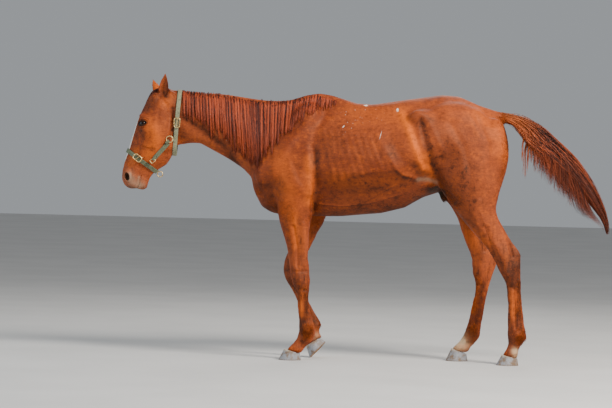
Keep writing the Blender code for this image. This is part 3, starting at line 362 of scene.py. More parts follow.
headForms = [
    (0, [(-1.345, 1.3), (-1.338, 1.255), (-1.35, 1.205), (-1.368, 1.165)], 0.0085, 0.0045),
    (0, [(-1.318, 1.225), (-1.285, 1.213), (-1.248, 1.214)], 0.007, -0.0035),
    (0, [(-1.25, 1.33), (-1.215, 1.27), (-1.235, 1.225)], 0.03, 0.004),
    (0, [(-1.148, 1.455), (-1.14, 1.38), (-1.15, 1.32), (-1.172, 1.262)], 0.01, -0.005),
    (0, [(-1.168, 1.44), (-1.16, 1.37), (-1.172, 1.31), (-1.195, 1.26)], 0.012, 0.0035),
    (0, [(-1.3, 1.425), (-1.262, 1.435)], 0.014, -0.0065),
    (0, [(-1.33, 1.404), (-1.308, 1.408), (-1.285, 1.398)], 0.01, 0.0016),
    (0, [(-1.4, 1.13), (-1.382, 1.1), (-1.378, 1.07)], 0.008, -0.0035),
    (0, [(-1.375, 1.18), (-1.365, 1.12), (-1.35, 1.08)], 0.005, 0.0018),
    (0, [(-1.3, 1.2), (-1.318, 1.15), (-1.335, 1.1)], 0.009, -0.0026),
    (0, [(-1.344, 0.976), (-1.334, 1.005), (-1.328, 1.035), (-1.322, 1.052)], 0.0035, -0.005),
    (0, [(-1.355, 0.985), (-1.345, 1.01), (-1.34, 1.04)], 0.005, 0.0022),
    (0, [(-1.331, 0.985), (-1.32, 1.01), (-1.314, 1.04)], 0.005, 0.0022),
    (0, [(-1.318, 1.058)], 0.008, -0.0026),
    (0, [(-1.286, 1.045), (-1.281, 1.02)], 0.009, -0.003),
    (0, [(-1.225, 1.48), (-1.205, 1.44), (-1.212, 1.4)], 0.01, 0.0022),
    (0, [(-1.262, 1.3), (-1.288, 1.245), (-1.305, 1.19)], 0.0035, 0.0012),
    (0, [(-1.205, 1.5), (-1.18, 1.47), (-1.172, 1.43)], 0.01, -0.003),
]
nostrilForm = {"x": -1.406, "z": 1.047, "lean": math.radians(-14), "long": 0.025, "wide": 0.015,
               "rim": 0.0045, "rimHeight": 0.0034, "depth": 0.012, "groove": 0.013, "grooveWidth": 0.004,
               "grooveDepth": 0.0016, "axis": (-0.45, 0.9), "reach": 0.06, "inner": 0.008}


def distanceToLine(flat, line):
    # from each (x, z) to the nearest point of a chain of stretches
    best = np.full(len(flat), 1e9)
    line = np.array(line, float)
    if len(line) == 1:
        return np.linalg.norm(flat - line[0], axis=1)
    for start, end in zip(line[:-1], line[1:]):
        along = end - start
        share = np.clip((flat - start) @ along / (along @ along), 0.0, 1.0)
        best = np.minimum(best, np.linalg.norm(flat - start - share[:, None] * along, axis=1))
    return best


def lineShare(points, side, line, halfWidth):
    # 1 on a line seen from the side, and less with the distance from it
    gate = 1.0 if side == 0 else points[:, 1] * side > 0
    return gate * np.exp(-(distanceToLine(points[:, [0, 2]], line) / halfWidth) ** 2)


def formHeights(points, normals, forms):
    heights = np.zeros(len(points))
    facing = ramp(np.abs(normals[:, 1]), 0.12, 0.5)
    for side, line, halfWidth, height in forms:
        heights += height * facing * lineShare(points, side, line, halfWidth)
    return heights


def ribLines():
    settings = ribForms
    lines = []
    for rib in range(settings["count"]):
        x = settings["first"] + settings["gap"] * rib
        top = settings["top"] - settings["topDrop"] * rib
        foot = settings["foot"] + settings["footRise"] * rib
        middle = (x + settings["lean"] * settings["bow"], (top + foot) / 2)
        line = [(x, top), middle, (x + settings["lean"], foot)]
        lines.append((0, line, settings["halfWidth"], settings["height"]))
    return lines


def regionShares(points):
    # how strongly each place is smoothed: trunk and neck most, ears and sheath least
    settings = skinSettings
    x, z = points[:, 0], points[:, 2]
    fromSheath = np.linalg.norm(points - np.array(settings["sheath"]), axis=1)
    regions = [(1 - ramp(z, 0.72, 0.98), "legShare"), (1 - ramp(x, -1.14, -1.02), "headShare"),
               (ramp(z, 1.548, 1.566) * (x < settings["earStart"]), "earShare"),
               (1 - ramp(fromSheath, 0.05, 0.085), "earShare")]
    share = np.full(len(points), settings["trunkShare"])
    for here, wanted in regions:
        share = share * (1 - here) + settings[wanted] * here
    return np.where(x > settings["dockStart"], settings["headShare"], share)


tailSettings = {
    "spine": [(0.78, 1.44), (0.87, 1.428), (0.94, 1.38), (1.006, 1.313), (1.083, 1.24), (1.155, 1.174),
              (1.224, 1.103), (1.285, 1.029), (1.34, 0.951), (1.386, 0.886), (1.417, 0.828), (1.43, 0.775)],
    "dockEnd": 0.34, "dockRadii": (0.03, 0.01), "dockLift": 0.35, "dockSteps": 16,
    "pieces": 3, "locks": 1950, "stations": 15, "clumps": 46, "halfWidth": 0.0015,
    "fringe": 0.34, "fallFrom": 0.42, "packed": 0.72, "measures": 70, "least": 0.004, "wave": 0.08,
    "clumpTones": (0.0, 0.9), "toneSpread": 0.3, "thick": (0.6, 0.6), "taper": (0.75, 1.6),
    "wisps": [  # x, height of the foot, how far the strands stray
        (0.915, 1.17, 0.006), (0.93, 1.08, 0.01), (0.948, 1.13, 0.006), (0.962, 1.175, 0.006),
        (0.985, 1.11, 0.008), (1.005, 1.15, 0.006), (1.03, 1.085, 0.009), (1.055, 1.125, 0.008),
        (1.085, 1.05, 0.01), (1.118, 1.01, 0.01), (1.16, 0.975, 0.012), (1.2, 0.93, 0.012),
    ],
    "wispLocks": 10,
    "hair": {"dark": colourOf(42, 17, 15), "light": colourOf(176, 80, 42), "end": colourOf(112, 54, 36),
             "endShare": 0.4, "shine": colourOf(206, 108, 50), "grain": (90.0, 700.0, 90.0),
             # start: where the tail's painted highlight near its root ends, and how strong it is
             "start": (0.84, 1.06), "startShare": 0.5},
}


def tailSpine(shares):
    # points and upward normals along the middle of the tail, by share of its length
    spine = np.array(tailSettings["spine"])
    steps = np.concatenate(([0.0], np.cumsum(np.linalg.norm(np.diff(spine, axis=0), axis=1))))
    fine = np.linspace(0.0, 1.0, 120)
    line = np.stack([np.interp(fine * steps[-1], steps, spine[:, axis]) for axis in (0, 1)], axis=1)
    for step in range(30):
        line[1:-1] = (line[:-2] + 2 * line[1:-1] + line[2:]) / 4
    along = unit(np.gradient(line, axis=0))
    normals = np.stack((-along[:, 1], along[:, 0]), axis=1)
    pick = [np.stack([np.interp(shares, fine, array[:, axis]) for axis in (0, 1)], axis=-1)
            for array in (line, normals)]
    return pick[0], pick[1] * np.sign(pick[1][..., [1]])


def dockParts():
    # the tail's own flesh: overlapping balls from the croup out along the top of the tail
    settings = tailSettings
    parts = []
    for share in np.linspace(0.0, 1.0, settings["dockSteps"]):
        spot, up = tailSpine(np.array(share * settings["dockEnd"]))
        radius = settings["dockRadii"][0] + share * (settings["dockRadii"][1] - settings["dockRadii"][0])
        spot = spot + up * settings["dockLift"] * radius
        deselectAll()
        bpy.ops.mesh.primitive_uv_sphere_add(segments=20, ring_count=12, radius=radius,
                                             location=(spot[0], 0.0, spot[1]))
        bpy.ops.object.transform_apply(location=True, rotation=True, scale=True)
        parts.append(bpy.context.object)
    return parts


def skinForm():
    settings = skinSettings
    copies = [nodeCopy(node, "skin_" + node) for node in fleshNodes + ["eye_left", "eye_right"]]
    copies += dockParts()
    for piece in copies:
        setPoints(piece.data, pointsOf(piece.data) + normalsOf(piece.data) * settings["swell"])
    skin = joined(copies, "skin")
    applyModifier(skin, "REMESH", mode="VOXEL", voxel_size=settings["voxel"])
    return skin


def relaxed(skin):
    # rounds off the facets, then gives back what the rounding took
    points, edges = pointsOf(skin.data), edgesOf(skin.data)
    share = regionShares(points)
    soft = smoothed(points, edges, share, skinSettings["rounds"])
    soft += smoothed(points - soft, edges, share, skinSettings["rounds"])
    setPoints(skin.data, soft)


def eyeSeat(side):
    # the middle and the radius of an eyeball
    low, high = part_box("eye_left" if side < 0 else "eye_right")
    return (low + high) / 2, (high - low)[2] / 2


eyeSettings = {
    "axis": (-0.2, 1.0, 0.1), "tilt": math.radians(14), "reach": 0.05,
    "halfLong": 0.024, "up": 0.0136, "down": 0.0114, "upperLid": 0.0034, "lowerLid": 0.0022, "sink": 0.0045,
    "folds": [  # distance out from the opening, half width, height, above or below
        (0.0085, 0.0022, -0.002, 1), (0.013, 0.004, 0.0014, 1), (0.0185, 0.0025, -0.0012, 1),
        (0.026, 0.007, 0.0012, 1), (0.007, 0.002, -0.0014, -1), (0.012, 0.0035, 0.0012, -1),
        (0.019, 0.003, -0.001, -1),
    ],
}


def eyeAxes(side):
    # out of the eye, forward along its opening, and up across it
    settings = eyeSettings
    axis = Vector(settings["axis"])
    axis.y *= side
    axis.normalize()
    forward = Vector((-math.cos(settings["tilt"]), 0.0, -math.sin(settings["tilt"])))
    forward = (forward - axis * forward.dot(axis)).normalized()
    up = axis.cross(forward)
    if up.z < 0:
        up = -up
    return np.array(axis), np.array(forward), np.array(up)


def eyePlaces(points, side):
    # each point seen from the eye: height over the ball's middle, how far above it, distance from its axis,
    # distance out from the lids' edge, and whether the point is near at all
    settings = eyeSettings
    axis, forward, up = eyeAxes(side)
    away = points - np.array(eyeSeat(side)[0])
    height, along, above = away @ axis, away @ forward, away @ up
    reach = np.hypot(along, above)
    tall = np.where(above > 0, settings["up"], settings["down"])
    share = np.maximum(np.hypot(along / settings["halfLong"], above / tall), 1e-6)
    near = (reach < settings["reach"]) & (height > 0.0) & (points[:, 1] * side > 0)
    return height, above, reach, reach * (1 - 1 / share), near


def shapeEye(points, side):
    settings = eyeSettings
    height, above, reach, out, near = eyePlaces(points, side)
    radius, axis = eyeSeat(side)[1], eyeAxes(side)[0]
    ball = np.sqrt(np.maximum(radius ** 2 - reach ** 2, 0.0))
    lid = np.where(above > 0, settings["upperLid"], settings["lowerLid"])
    covered = np.maximum(height, ball + lid)
    wanted = covered + (ball - settings["sink"] - covered) * (1 - ramp(out, -0.0018, 0.0002))
    for place, halfWidth, rise, way in settings["folds"]:
        fold = np.exp(-((out - place) / halfWidth) ** 2) * (out > 0) * ramp(above * way, 0.0, 0.006)
        wanted = wanted + rise * fold
    return points + np.outer((wanted - height) * near, axis)


def nostrilPlaces(points, side):
    # distance out from the nostril's edge, and whether the point is near it
    settings = nostrilForm
    dx, dz = points[:, 0] - settings["x"], points[:, 2] - settings["z"]
    along = dz * math.cos(settings["lean"]) + dx * math.sin(settings["lean"])
    across = dx * math.cos(settings["lean"]) - dz * math.sin(settings["lean"])
    reach = np.hypot(along, across)
    share = np.maximum(np.hypot(along / settings["long"], across / settings["wide"]), 1e-6)
    return reach * (1 - 1 / share), (points[:, 1] * side > settings["inner"]) & (reach < settings["reach"])


def shapeNostril(points, normals, side):
    settings = nostrilForm
    out, near = nostrilPlaces(points, side)
    axis = unit(np.array([[settings["axis"][0], side * settings["axis"][1], 0.0]]))[0]
    push = -settings["depth"] * (1 - ramp(out, -0.006, 0.0008))
    push += settings["rimHeight"] * np.exp(-((out - settings["rim"]) / settings["rim"]) ** 2)
    push -= settings["grooveDepth"] * np.exp(-((out - settings["groove"]) / settings["grooveWidth"]) ** 2)
    return points + np.outer(push * near * (normals @ axis > 0.1), axis)


def faceCentres(mesh):
    return arrayOf(mesh.polygons, "center", 3)


def editFaces(skin, choose, operator, **values):
    # runs an edit-mode operator on the faces that choose() picks by their centres
    mesh = skin.data
    picked = choose(faceCentres(mesh))
    makeActive(skin)
    bpy.ops.object.mode_set(mode="EDIT")
    bpy.ops.mesh.select_mode(type="FACE")
    bpy.ops.mesh.select_all(action="DESELECT")
    bpy.ops.object.mode_set(mode="OBJECT")
    mesh.polygons.foreach_set("select", picked)
    bpy.ops.object.mode_set(mode="EDIT")
    operator(**values)
    bpy.ops.object.mode_set(mode="OBJECT")


def onHead(centres):
    return centres[:, 0] < skinSettings["headStart"]


def offHead(centres):
    return centres[:, 0] >= skinSettings["headStart"]


def roundEyes(centres, reach):
    picked = np.zeros(len(centres), bool)
    for side in (-1, 1):
        picked |= np.linalg.norm(centres - np.array(eyeSeat(side)[0]), axis=1) < reach
    return picked


def nearEyes(centres):
    return roundEyes(centres, skinSettings["eyeReach"])


def nearFeatures(centres):
    # round the eyes, the nostrils and the lips
    behind, top = skinSettings["muzzle"]
    return roundEyes(centres, skinSettings["featureReach"]) | (centres[:, 0] < behind) & (centres[:, 2] < top)


def eased(skin, choose, share, rounds):
    # smooths only the chosen places
    points = pointsOf(skin.data)
    setPoints(skin.data, smoothed(points, edgesOf(skin.data), share * choose(points), rounds))


def triangleCount(skin, choose):
    sides = arrayOf(skin.data.polygons, "loop_total", 1, np.int32)
    return int((sides - 2)[choose(faceCentres(skin.data))].sum())


def makeSkin():
    settings = skinSettings
    skin = skinForm()
    relaxed(skin)
    points, normals = pointsOf(skin.data), normalsOf(skin.data)
    points -= normals * settings["coatDepth"]
    points += normals * formHeights(points, normals, bodyForms + legForms + ribLines())[:, None]
    setPoints(skin.data, points)
    print("skin: body formed,", len(points), "points")
    for choose in (onHead, nearFeatures, nearEyes):
        editFaces(skin, choose, bpy.ops.mesh.subdivide, number_cuts=1)
        eased(skin, choose, 0.5, 2)
    points, normals = pointsOf(skin.data), normalsOf(skin.data)
    heights = formHeights(points, normals, headForms)[:, None]
    points += normals * heights * (points[:, [0]] < settings["faceFormsTo"])
    for side in (-1, 1):
        points = shapeNostril(points, normals, side)
        points = shapeEye(points, side)
    setPoints(skin.data, points)
    print("skin: head formed,", len(points), "points")
    for choose, wanted in ((offHead, settings["bodyTriangles"]), (onHead, settings["headTriangles"])):
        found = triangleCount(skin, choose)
        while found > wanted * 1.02:
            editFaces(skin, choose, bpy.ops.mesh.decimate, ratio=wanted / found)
            found = triangleCount(skin, choose)
    applyModifier(skin, "TRIANGULATE")
    makeActive(skin)
    bpy.ops.object.shade_smooth()
    print("skin:", len(skin.data.polygons), "triangles")
    return skin


skin = makeSkin()


# Coat: its deep brown and painted shade, its golden tone and painted highlights, its bare skin, and its
# near-black skin and painted shadow, the same on the skin and on the hair

coatMarks = {
    # deep: the coat's darker brown, and painted shade in the grooves and hollows, in the groin, under the
    # mane, on the legs' sides, on the far legs, in the near ear and under the tail
    "deep": [  # side, (x, z) points, half width, amount
        # painted shade in the grooves behind the shoulder and down the front of the thigh; the hip and thigh
        # darker, their browner tone with painted shade
        (0, [(-0.3, 1.22), (-0.29, 1.05), (-0.305, 0.88)], 0.022, 0.6),
        (0, [(0.305, 1.42), (0.335, 1.3), (0.385, 1.15), (0.45, 1.04), (0.515, 0.95)], 0.028, 0.75),
        (0, [(0.355, 1.43), (0.41, 1.36), (0.45, 1.27)], 0.04, 0.3),
        (0, [(0.5, 1.22), (0.54, 1.1), (0.58, 0.96)], 0.1, 0.62),
        # painted shade in the groin
        (0, [(0.325, 1.01), (0.38, 1.022), (0.43, 0.99)], 0.026, 0.92),
        # darker hocks, cannons, knees and fetlocks: painted shade, deepest on the far hind in the near leg's
        # shade, with the legs' own darker hair
        (-1, [(0.905, 0.64), (0.892, 0.56), (0.885, 0.48)], 0.042, 0.75),
        (-1, [(0.802, 0.6), (0.835, 0.5)], 0.045, 0.45),
        (-1, [(0.9, 0.33), (0.897, 0.24)], 0.014, 0.6),
        (-1, [(0.845, 0.15), (0.885, 0.125)], 0.028, 0.7),
        (1, [(0.69, 0.7), (0.69, 0.61)], 0.03, 0.55),
        (1, [(0.655, 0.52), (0.65, 0.45)], 0.04, 0.5),
        (-1, [(-0.4, 0.44), (-0.372, 0.36)], 0.028, 0.6),
        (-1, [(-0.352, 0.215), (-0.35, 0.15)], 0.016, 0.55),
        (-1, [(-0.352, 0.12), (-0.335, 0.1)], 0.024, 0.65),
        (-1, [(-0.455, 0.9), (-0.43, 0.76), (-0.425, 0.62)], 0.04, 0.28),
        (0, [(-1.204, 1.535), (-1.24, 1.515), (-1.262, 1.475)], 0.022, 0.55),
        # the ribs, the gaskin and the chest by the elbow darker: the coat's browner tone with painted shade
        (0, [(-0.18, 1.28), (0.04, 1.2)], 0.13, 0.26),
        (0, [(0.65, 0.84), (0.7, 0.72)], 0.055, 0.32),
        (0, [(-0.54, 0.98), (-0.58, 1.04)], 0.06, 0.35),
        # painted shade in the groove under the mane, under the mane on the upper neck and along the belly's
        # underline
        (0, [(-1.075, 1.4), (-0.96, 1.335), (-0.85, 1.245), (-0.75, 1.12), (-0.7, 1.05)],
         0.02, 0.85),
        (0, [(-1.06, 1.48), (-0.9, 1.43), (-0.72, 1.33), (-0.5, 1.42)], 0.09, 0.55),
        (0, [(-0.24, 0.96), (-0.05, 0.94), (0.15, 0.985), (0.28, 1.03)], 0.04, 0.45),
        # painted shade behind the shoulder, in the flank's hollow, in the temple's hollow and between the eye
        # and the facial crest
        (0, [(-0.25, 1.3), (-0.23, 1.15)], 0.03, 0.3),
        (0, [(0.12, 1.3), (0.17, 1.19), (0.25, 1.13)], 0.03, 0.35),
        (0, [(-1.262, 1.505), (-1.285, 1.455)], 0.03, 0.6),
        (0, [(-1.332, 1.335), (-1.325, 1.28)], 0.024, 0.48),
        # painted shade inside the near ear and in the mouth's crease
        (-1, [(-1.17, 1.6), (-1.176, 1.55), (-1.182, 1.522)], 0.013, 0.95),
        (0, [(-1.4, 0.99), (-1.35, 0.978)], 0.007, 0.8),
        # painted shade down the front and back edges of the cannons and in the legs' grooves, with a painted
        # highlight between them among the bright marks
        (-1, [(0.85, 0.64), (0.85, 0.5)], 0.05, 0.5),
        (-1, [(0.838, 0.46), (0.85, 0.3), (0.862, 0.2)], 0.012, 0.65),
        (-1, [(0.914, 0.48), (0.913, 0.3), (0.92, 0.22)], 0.012, 0.7),
        (1, [(0.628, 0.46), (0.612, 0.32), (0.596, 0.22)], 0.012, 0.6),
        (1, [(0.706, 0.46), (0.69, 0.32), (0.672, 0.22)], 0.013, 0.65),
        (-1, [(-0.4, 0.4), (-0.393, 0.25)], 0.01, 0.65),
        (-1, [(-0.328, 0.4), (-0.33, 0.26)], 0.01, 0.6),
        (-1, [(-0.385, 0.8), (-0.372, 0.66), (-0.372, 0.56)], 0.01, 0.45),
        (0, [(0.8, 0.86), (0.842, 0.74), (0.868, 0.64)], 0.013, 0.5),
        # painted shade in the face's grooves, along the jaw's edge and on the throat
        (0, [(-1.268, 1.3), (-1.28, 1.25)], 0.014, 0.35),
        (0, [(-1.325, 1.218), (-1.25, 1.208)], 0.01, 0.5),
        (0, [(-1.146, 1.45), (-1.14, 1.35), (-1.165, 1.268)], 0.012, 0.6),
        (0, [(-1.108, 1.33), (-1.05, 1.26)], 0.03, 0.35),
        # painted shade on the knees, fetlocks, hocks and inner legs, darkest on the far legs
        (-1, [(-0.385, 0.5), (-0.375, 0.44)], 0.045, 0.5),
        (-1, [(-0.352, 0.23), (-0.345, 0.18)], 0.045, 0.75),
        (-1, [(-0.345, 0.42), (-0.34, 0.28)], 0.015, 0.45),
        (1, [(-0.44, 0.52), (-0.43, 0.44)], 0.06, 0.75),
        (1, [(-0.3, 0.28), (-0.262, 0.2)], 0.05, 0.6),
        (-1, [(0.84, 0.23), (0.855, 0.17)], 0.055, 0.6),
        (-1, [(0.74, 0.64), (0.76, 0.54)], 0.03, 0.45),
        (1, [(0.57, 0.6), (0.6, 0.5), (0.58, 0.3)], 0.04, 0.45),
        (1, [(0.58, 0.22), (0.585, 0.18)], 0.05, 0.85),
        # painted shadow down the buttock's edge under the tail
        (0, [(0.812, 1.425), (0.845, 1.36), (0.847, 1.24), (0.836, 1.15)], 0.014, 0.85),
    ],
    "bright": [
        # bright: the coat's golden tone, and painted highlights on the lit edges of the ears, cheek, throat,
        # shoulder, back, flank's ridge, stifle and buttock and down the fronts of the legs
        (1, [(-1.245, 1.605), (-1.235, 1.56)], 0.03, 0.85),
        (-1, [(0.873, 0.43), (0.88, 0.28)], 0.016, 0.5),
        (1, [(0.668, 0.44), (0.65, 0.3)], 0.014, 0.75),
        (-1, [(-0.366, 0.42), (-0.362, 0.26)], 0.012, 0.8),
        (-1, [(-0.415, 0.82), (-0.405, 0.66)], 0.014, 0.6),
        (0, [(-1.265, 1.335), (-1.24, 1.27), (-1.275, 1.18)], 0.05, 0.65),
        (0, [(-1.185, 1.48), (-1.165, 1.52)], 0.03, 0.45),
        (0, [(-1.36, 1.2), (-1.385, 1.12)], 0.022, 0.45),
        (0, [(-1.09, 1.23), (-0.98, 1.21), (-0.86, 1.15)], 0.035, 0.5),
        (0, [(-0.34, 1.17), (-0.325, 1.05), (-0.335, 0.93)], 0.032, 0.6),
        (0, [(-0.5, 1.16), (-0.45, 0.93)], 0.07, 0.35),
        (0, [(-0.1, 1.46), (0.16, 1.45)], 0.06, 0.25),
        (0, [(0.195, 1.455), (0.245, 1.345), (0.285, 1.235), (0.33, 1.12)], 0.026, 0.85),
        (0, [(0.345, 1.22), (0.375, 1.1), (0.42, 0.99)], 0.03, 0.8),
        (0, [(-0.18, 1.05), (0.02, 1.03), (0.22, 1.075)], 0.05, 0.35),
        (0, [(0.64, 1.46), (0.74, 1.38), (0.79, 1.24)], 0.06, 0.4),
        (0, [(0.475, 0.9), (0.56, 0.78), (0.68, 0.7)], 0.045, 0.45),
        (-1, [(-0.43, 0.86), (-0.4, 0.7)], 0.04, 0.4),
        (-1, [(-0.395, 0.4), (-0.39, 0.28)], 0.012, 0.35),
        (-1, [(0.83, 0.46), (0.845, 0.3)], 0.025, 0.55),
        (1, [(0.62, 0.56), (0.61, 0.48)], 0.035, 0.4),
    ],
    "bare": [
        (0, [(-1.395, 1.05), (-1.37, 1.01), (-1.33, 1.0)], 0.03, 0.75),
        (0, [(-1.338, 0.98), (-1.334, 1.045)], 0.009, 0.6),
        (0, [(0.298, 1.073), (0.35, 1.077), (0.405, 1.06)], 0.011, 0.72),
        (0, [(-1.386, 1.066), (-1.383, 1.042), (-1.392, 1.022)], 0.007, 0.8),
        (1, [(0.54, 0.085), (0.59, 0.11), (0.56, 0.15)], 0.05, 0.95),
        (-1, [(0.89, 0.085), (0.893, 0.06)], 0.022, 0.8),
        (1, [(-0.275, 0.13), (-0.255, 0.115)], 0.026, 0.3),
    ],
    "black": [  # (x, z) points, how far it is full, how far it reaches, amount
        # painted shadow in the groin along the sheath's foot, with its dark skin
        ([(0.382, 1.012), (0.412, 1.02), (0.45, 0.998)], 0.012, 0.026, 0.95),
        # painted shadow down the buttock's edge under the tail
        ([(0.802, 1.405), (0.812, 1.355), (0.82, 1.31), (0.824, 1.265)], 0.007, 0.019, 0.85),
    ],
    # belly: painted shade on the trunk's underside
    "belly": 0.75,
    "sheath": {"middle": (0.452, 0.0, 0.988), "shape": (1.0, 0.9, 1.2), "edge": (0.042, 0.058),
               "halfWidth": 0.045},
    # lids: black is the lids' dark rims; deep is painted shade round the eye in its socket
    "lids": {"black": (0.0022, 0.0062), "deep": (0.004, 0.02), "deepAmount": 0.55},
    # nostrils: inside is painted shadow in the nostril's hollow, with its dark lining; round darkens the skin
    # round the nostril's front
    "nostrils": {"inside": (-0.004, 0.0025), "insideAmount": 0.88, "round": (0.002, 0.018),
                 "roundAmount": 0.38, "front": (-1.395, -1.425)},
    # ears: painted shade inside the ears' cups, and no bright there
    "ears": {"above": 1.535, "before": -1.13, "aside": 0.02, "cup": 0.04, "deep": 0.95, "black": 0.45},
}


def earShadeShare(points, normals):
    # 1 inside the cup of an ear, where the ear's other wall faces the place, and 0 elsewhere: where the
    # painted shade inside the ear goes
    settings = coatMarks["ears"]
    found = np.zeros(len(points))
    x, y, z = points.T
    near = (z > settings["above"]) & (x < settings["before"]) & (np.abs(y) > settings["aside"])
    for index in np.flatnonzero(near):
        start, way = Vector(points[index]), Vector(normals[index])
        if skinTree.ray_cast(start + way * 0.0015, way, settings["cup"])[0] is not None:
            found[index] = 1.0
    return found


def markShares(points, normals):
    # one colour a point: deep (darker brown and painted shade), bright (golden tone and painted highlights),
    # bare, and black (dark skin and painted shadow) shares
    shares = np.zeros((len(points), 4))
    for column, kind in enumerate(("deep", "bright", "bare")):
        left = np.ones(len(points))
        for side, line, halfWidth, amount in coatMarks[kind]:
            left *= 1 - amount * lineShare(points, side, line, halfWidth)
        shares[:, column] = 1 - left
    # painted shade under the trunk, darker the more the skin faces down
    trunk = ramp(points[:, 0], -0.75, -0.6) * ramp(points[:, 2], 0.7, 0.85)
    deep = [shares[:, 0], coatMarks["belly"] * trunk * ramp(-normals[:, 2], 0.15, 0.85)]
    black = []
    lids, nostrils, sheath, ears = (coatMarks[key] for key in ("lids", "nostrils", "sheath", "ears"))
    for side in (-1, 1):
        out, near = eyePlaces(points, side)[-2:]
        # the lids' dark rims, and painted shade round the eye
        black.append(near * (1 - ramp(out, *lids["black"])))
        deep.append(near * lids["deepAmount"] * (1 - ramp(out, *lids["deep"])))
        out, near = nostrilPlaces(points, side)
        # painted shadow inside the nostril's hollow, and darker round its front
        black.append(near * nostrils["insideAmount"] * (1 - ramp(out, *nostrils["inside"])))
        black.append(near * nostrils["roundAmount"] * (1 - ramp(out, *nostrils["round"]))
                     * ramp(points[:, 0], *nostrils["front"]))
    reach = np.linalg.norm((points - np.array(sheath["middle"])) / np.array(sheath["shape"]), axis=1)
    black.append((1 - ramp(reach, *sheath["edge"])) * (np.abs(points[:, 1]) < sheath["halfWidth"]))
    for line, full, end, amount in coatMarks["black"]:
        black.append(amount * (1 - ramp(distanceToLine(points[:, [0, 2]], line), full, end)))
    # painted shade inside the ears' cups, where the bright marks are taken out
    earShade = earShadeShare(points, normals)
    shares[:, 0] = np.maximum.reduce([*deep, ears["deep"] * earShade])
    shares[:, 1] *= 1 - earShade
    shares[:, 3] = np.maximum.reduce([*black, ears["black"] * earShade])
    return np.clip(shares, 0.0, 1.0)


whiteSpots = [  # x, z, half long, half wide, turn from level in degrees, softness
    (0.17, 1.475, 0.011, 0.006, 80, 0.35), (-0.014, 1.499, 0.011, 0.0035, 0, 0.5),
    (0.072, 1.327, 0.02, 0.0011, 75, 0.8), (-0.144, 1.372, 0.007, 0.0028, 50, 0.8),
    (0.684, 0.48, 0.014, 0.005, 60, 0.8),
]


def spotShare(finish, place, spot):
    # 1 on a white spot, with a soft edge
    x, z, halfLong, halfWide, turn, softness = spot
    away = finish.turned(place, shift=(-x, 0.0, -z))
    away = finish.turned(away, angles=(0.0, math.radians(turn), 0.0))
    across = finish.axes(finish.turned(away, scale=(1 / halfLong, 0.0, 1 / halfWide)))
    reach = (across[0] * across[0] + across[2] * across[2]) ** 0.5
    return 1 - reach.step(1 - softness, 1 + softness)


coatSettings = {
    # deep is the coat's darker brown and the colour of its painted shade, bright its golden tone and the
    # colour of its painted highlights, black its dark skin and painted shadow
    "base": colourOf(145, 67, 35), "second": colourOf(113, 47, 26), "deep": colourOf(60, 25, 16),
    "bright": colourOf(215, 98, 18), "bare": colourOf(142, 116, 94), "black": colourOf(24, 16, 14),
    "white": colourOf(235, 225, 210), "highlight": colourOf(255, 224, 192), "sock": colourOf(206, 178, 140),
    "roughness": 0.52, "specular": 0.25, "slant": (0.0, 0.62, 0.0),
    "hairDepth": 0.0009, "wrinkleDepth": 0.0022,
    "blaze": {"foot": 1.055, "slope": 0.3, "x": -1.443, "depth": 0.03, "from": 1.12, "to": 1.43,
              "wide": 0.058, "taper": 0.07, "fade": 0.03, "ragged": 0.008},
}


def blazeShare(finish, place):
    # the narrow white stripe down the front of the face
    settings = coatSettings["blaze"]
    x, y, z = finish.axes(place)
    height = z - settings["foot"]
    depth = x - (height * settings["slope"] + settings["x"])
    front = 1 - depth.step(settings["depth"] * 0.8, settings["depth"])
    length = settings["to"] - settings["foot"]
    reach = height * (settings["wide"] / length)
    reach = reach * (1 - z.step(settings["to"] - settings["taper"], settings["to"])) ** 0.5
    ragged = finish.streaks(place, (120.0, 420.0, 120.0), 2.0) * settings["ragged"] - settings["ragged"] / 2
    away = y.absolute() + ragged
    inside = 1 - (away - reach).step(-0.0015, 0.0015)
    above = z.step(settings["from"], settings["from"] + settings["fade"])
    return inside * front * above * (1 - z.step(settings["to"] - settings["fade"], settings["to"]))


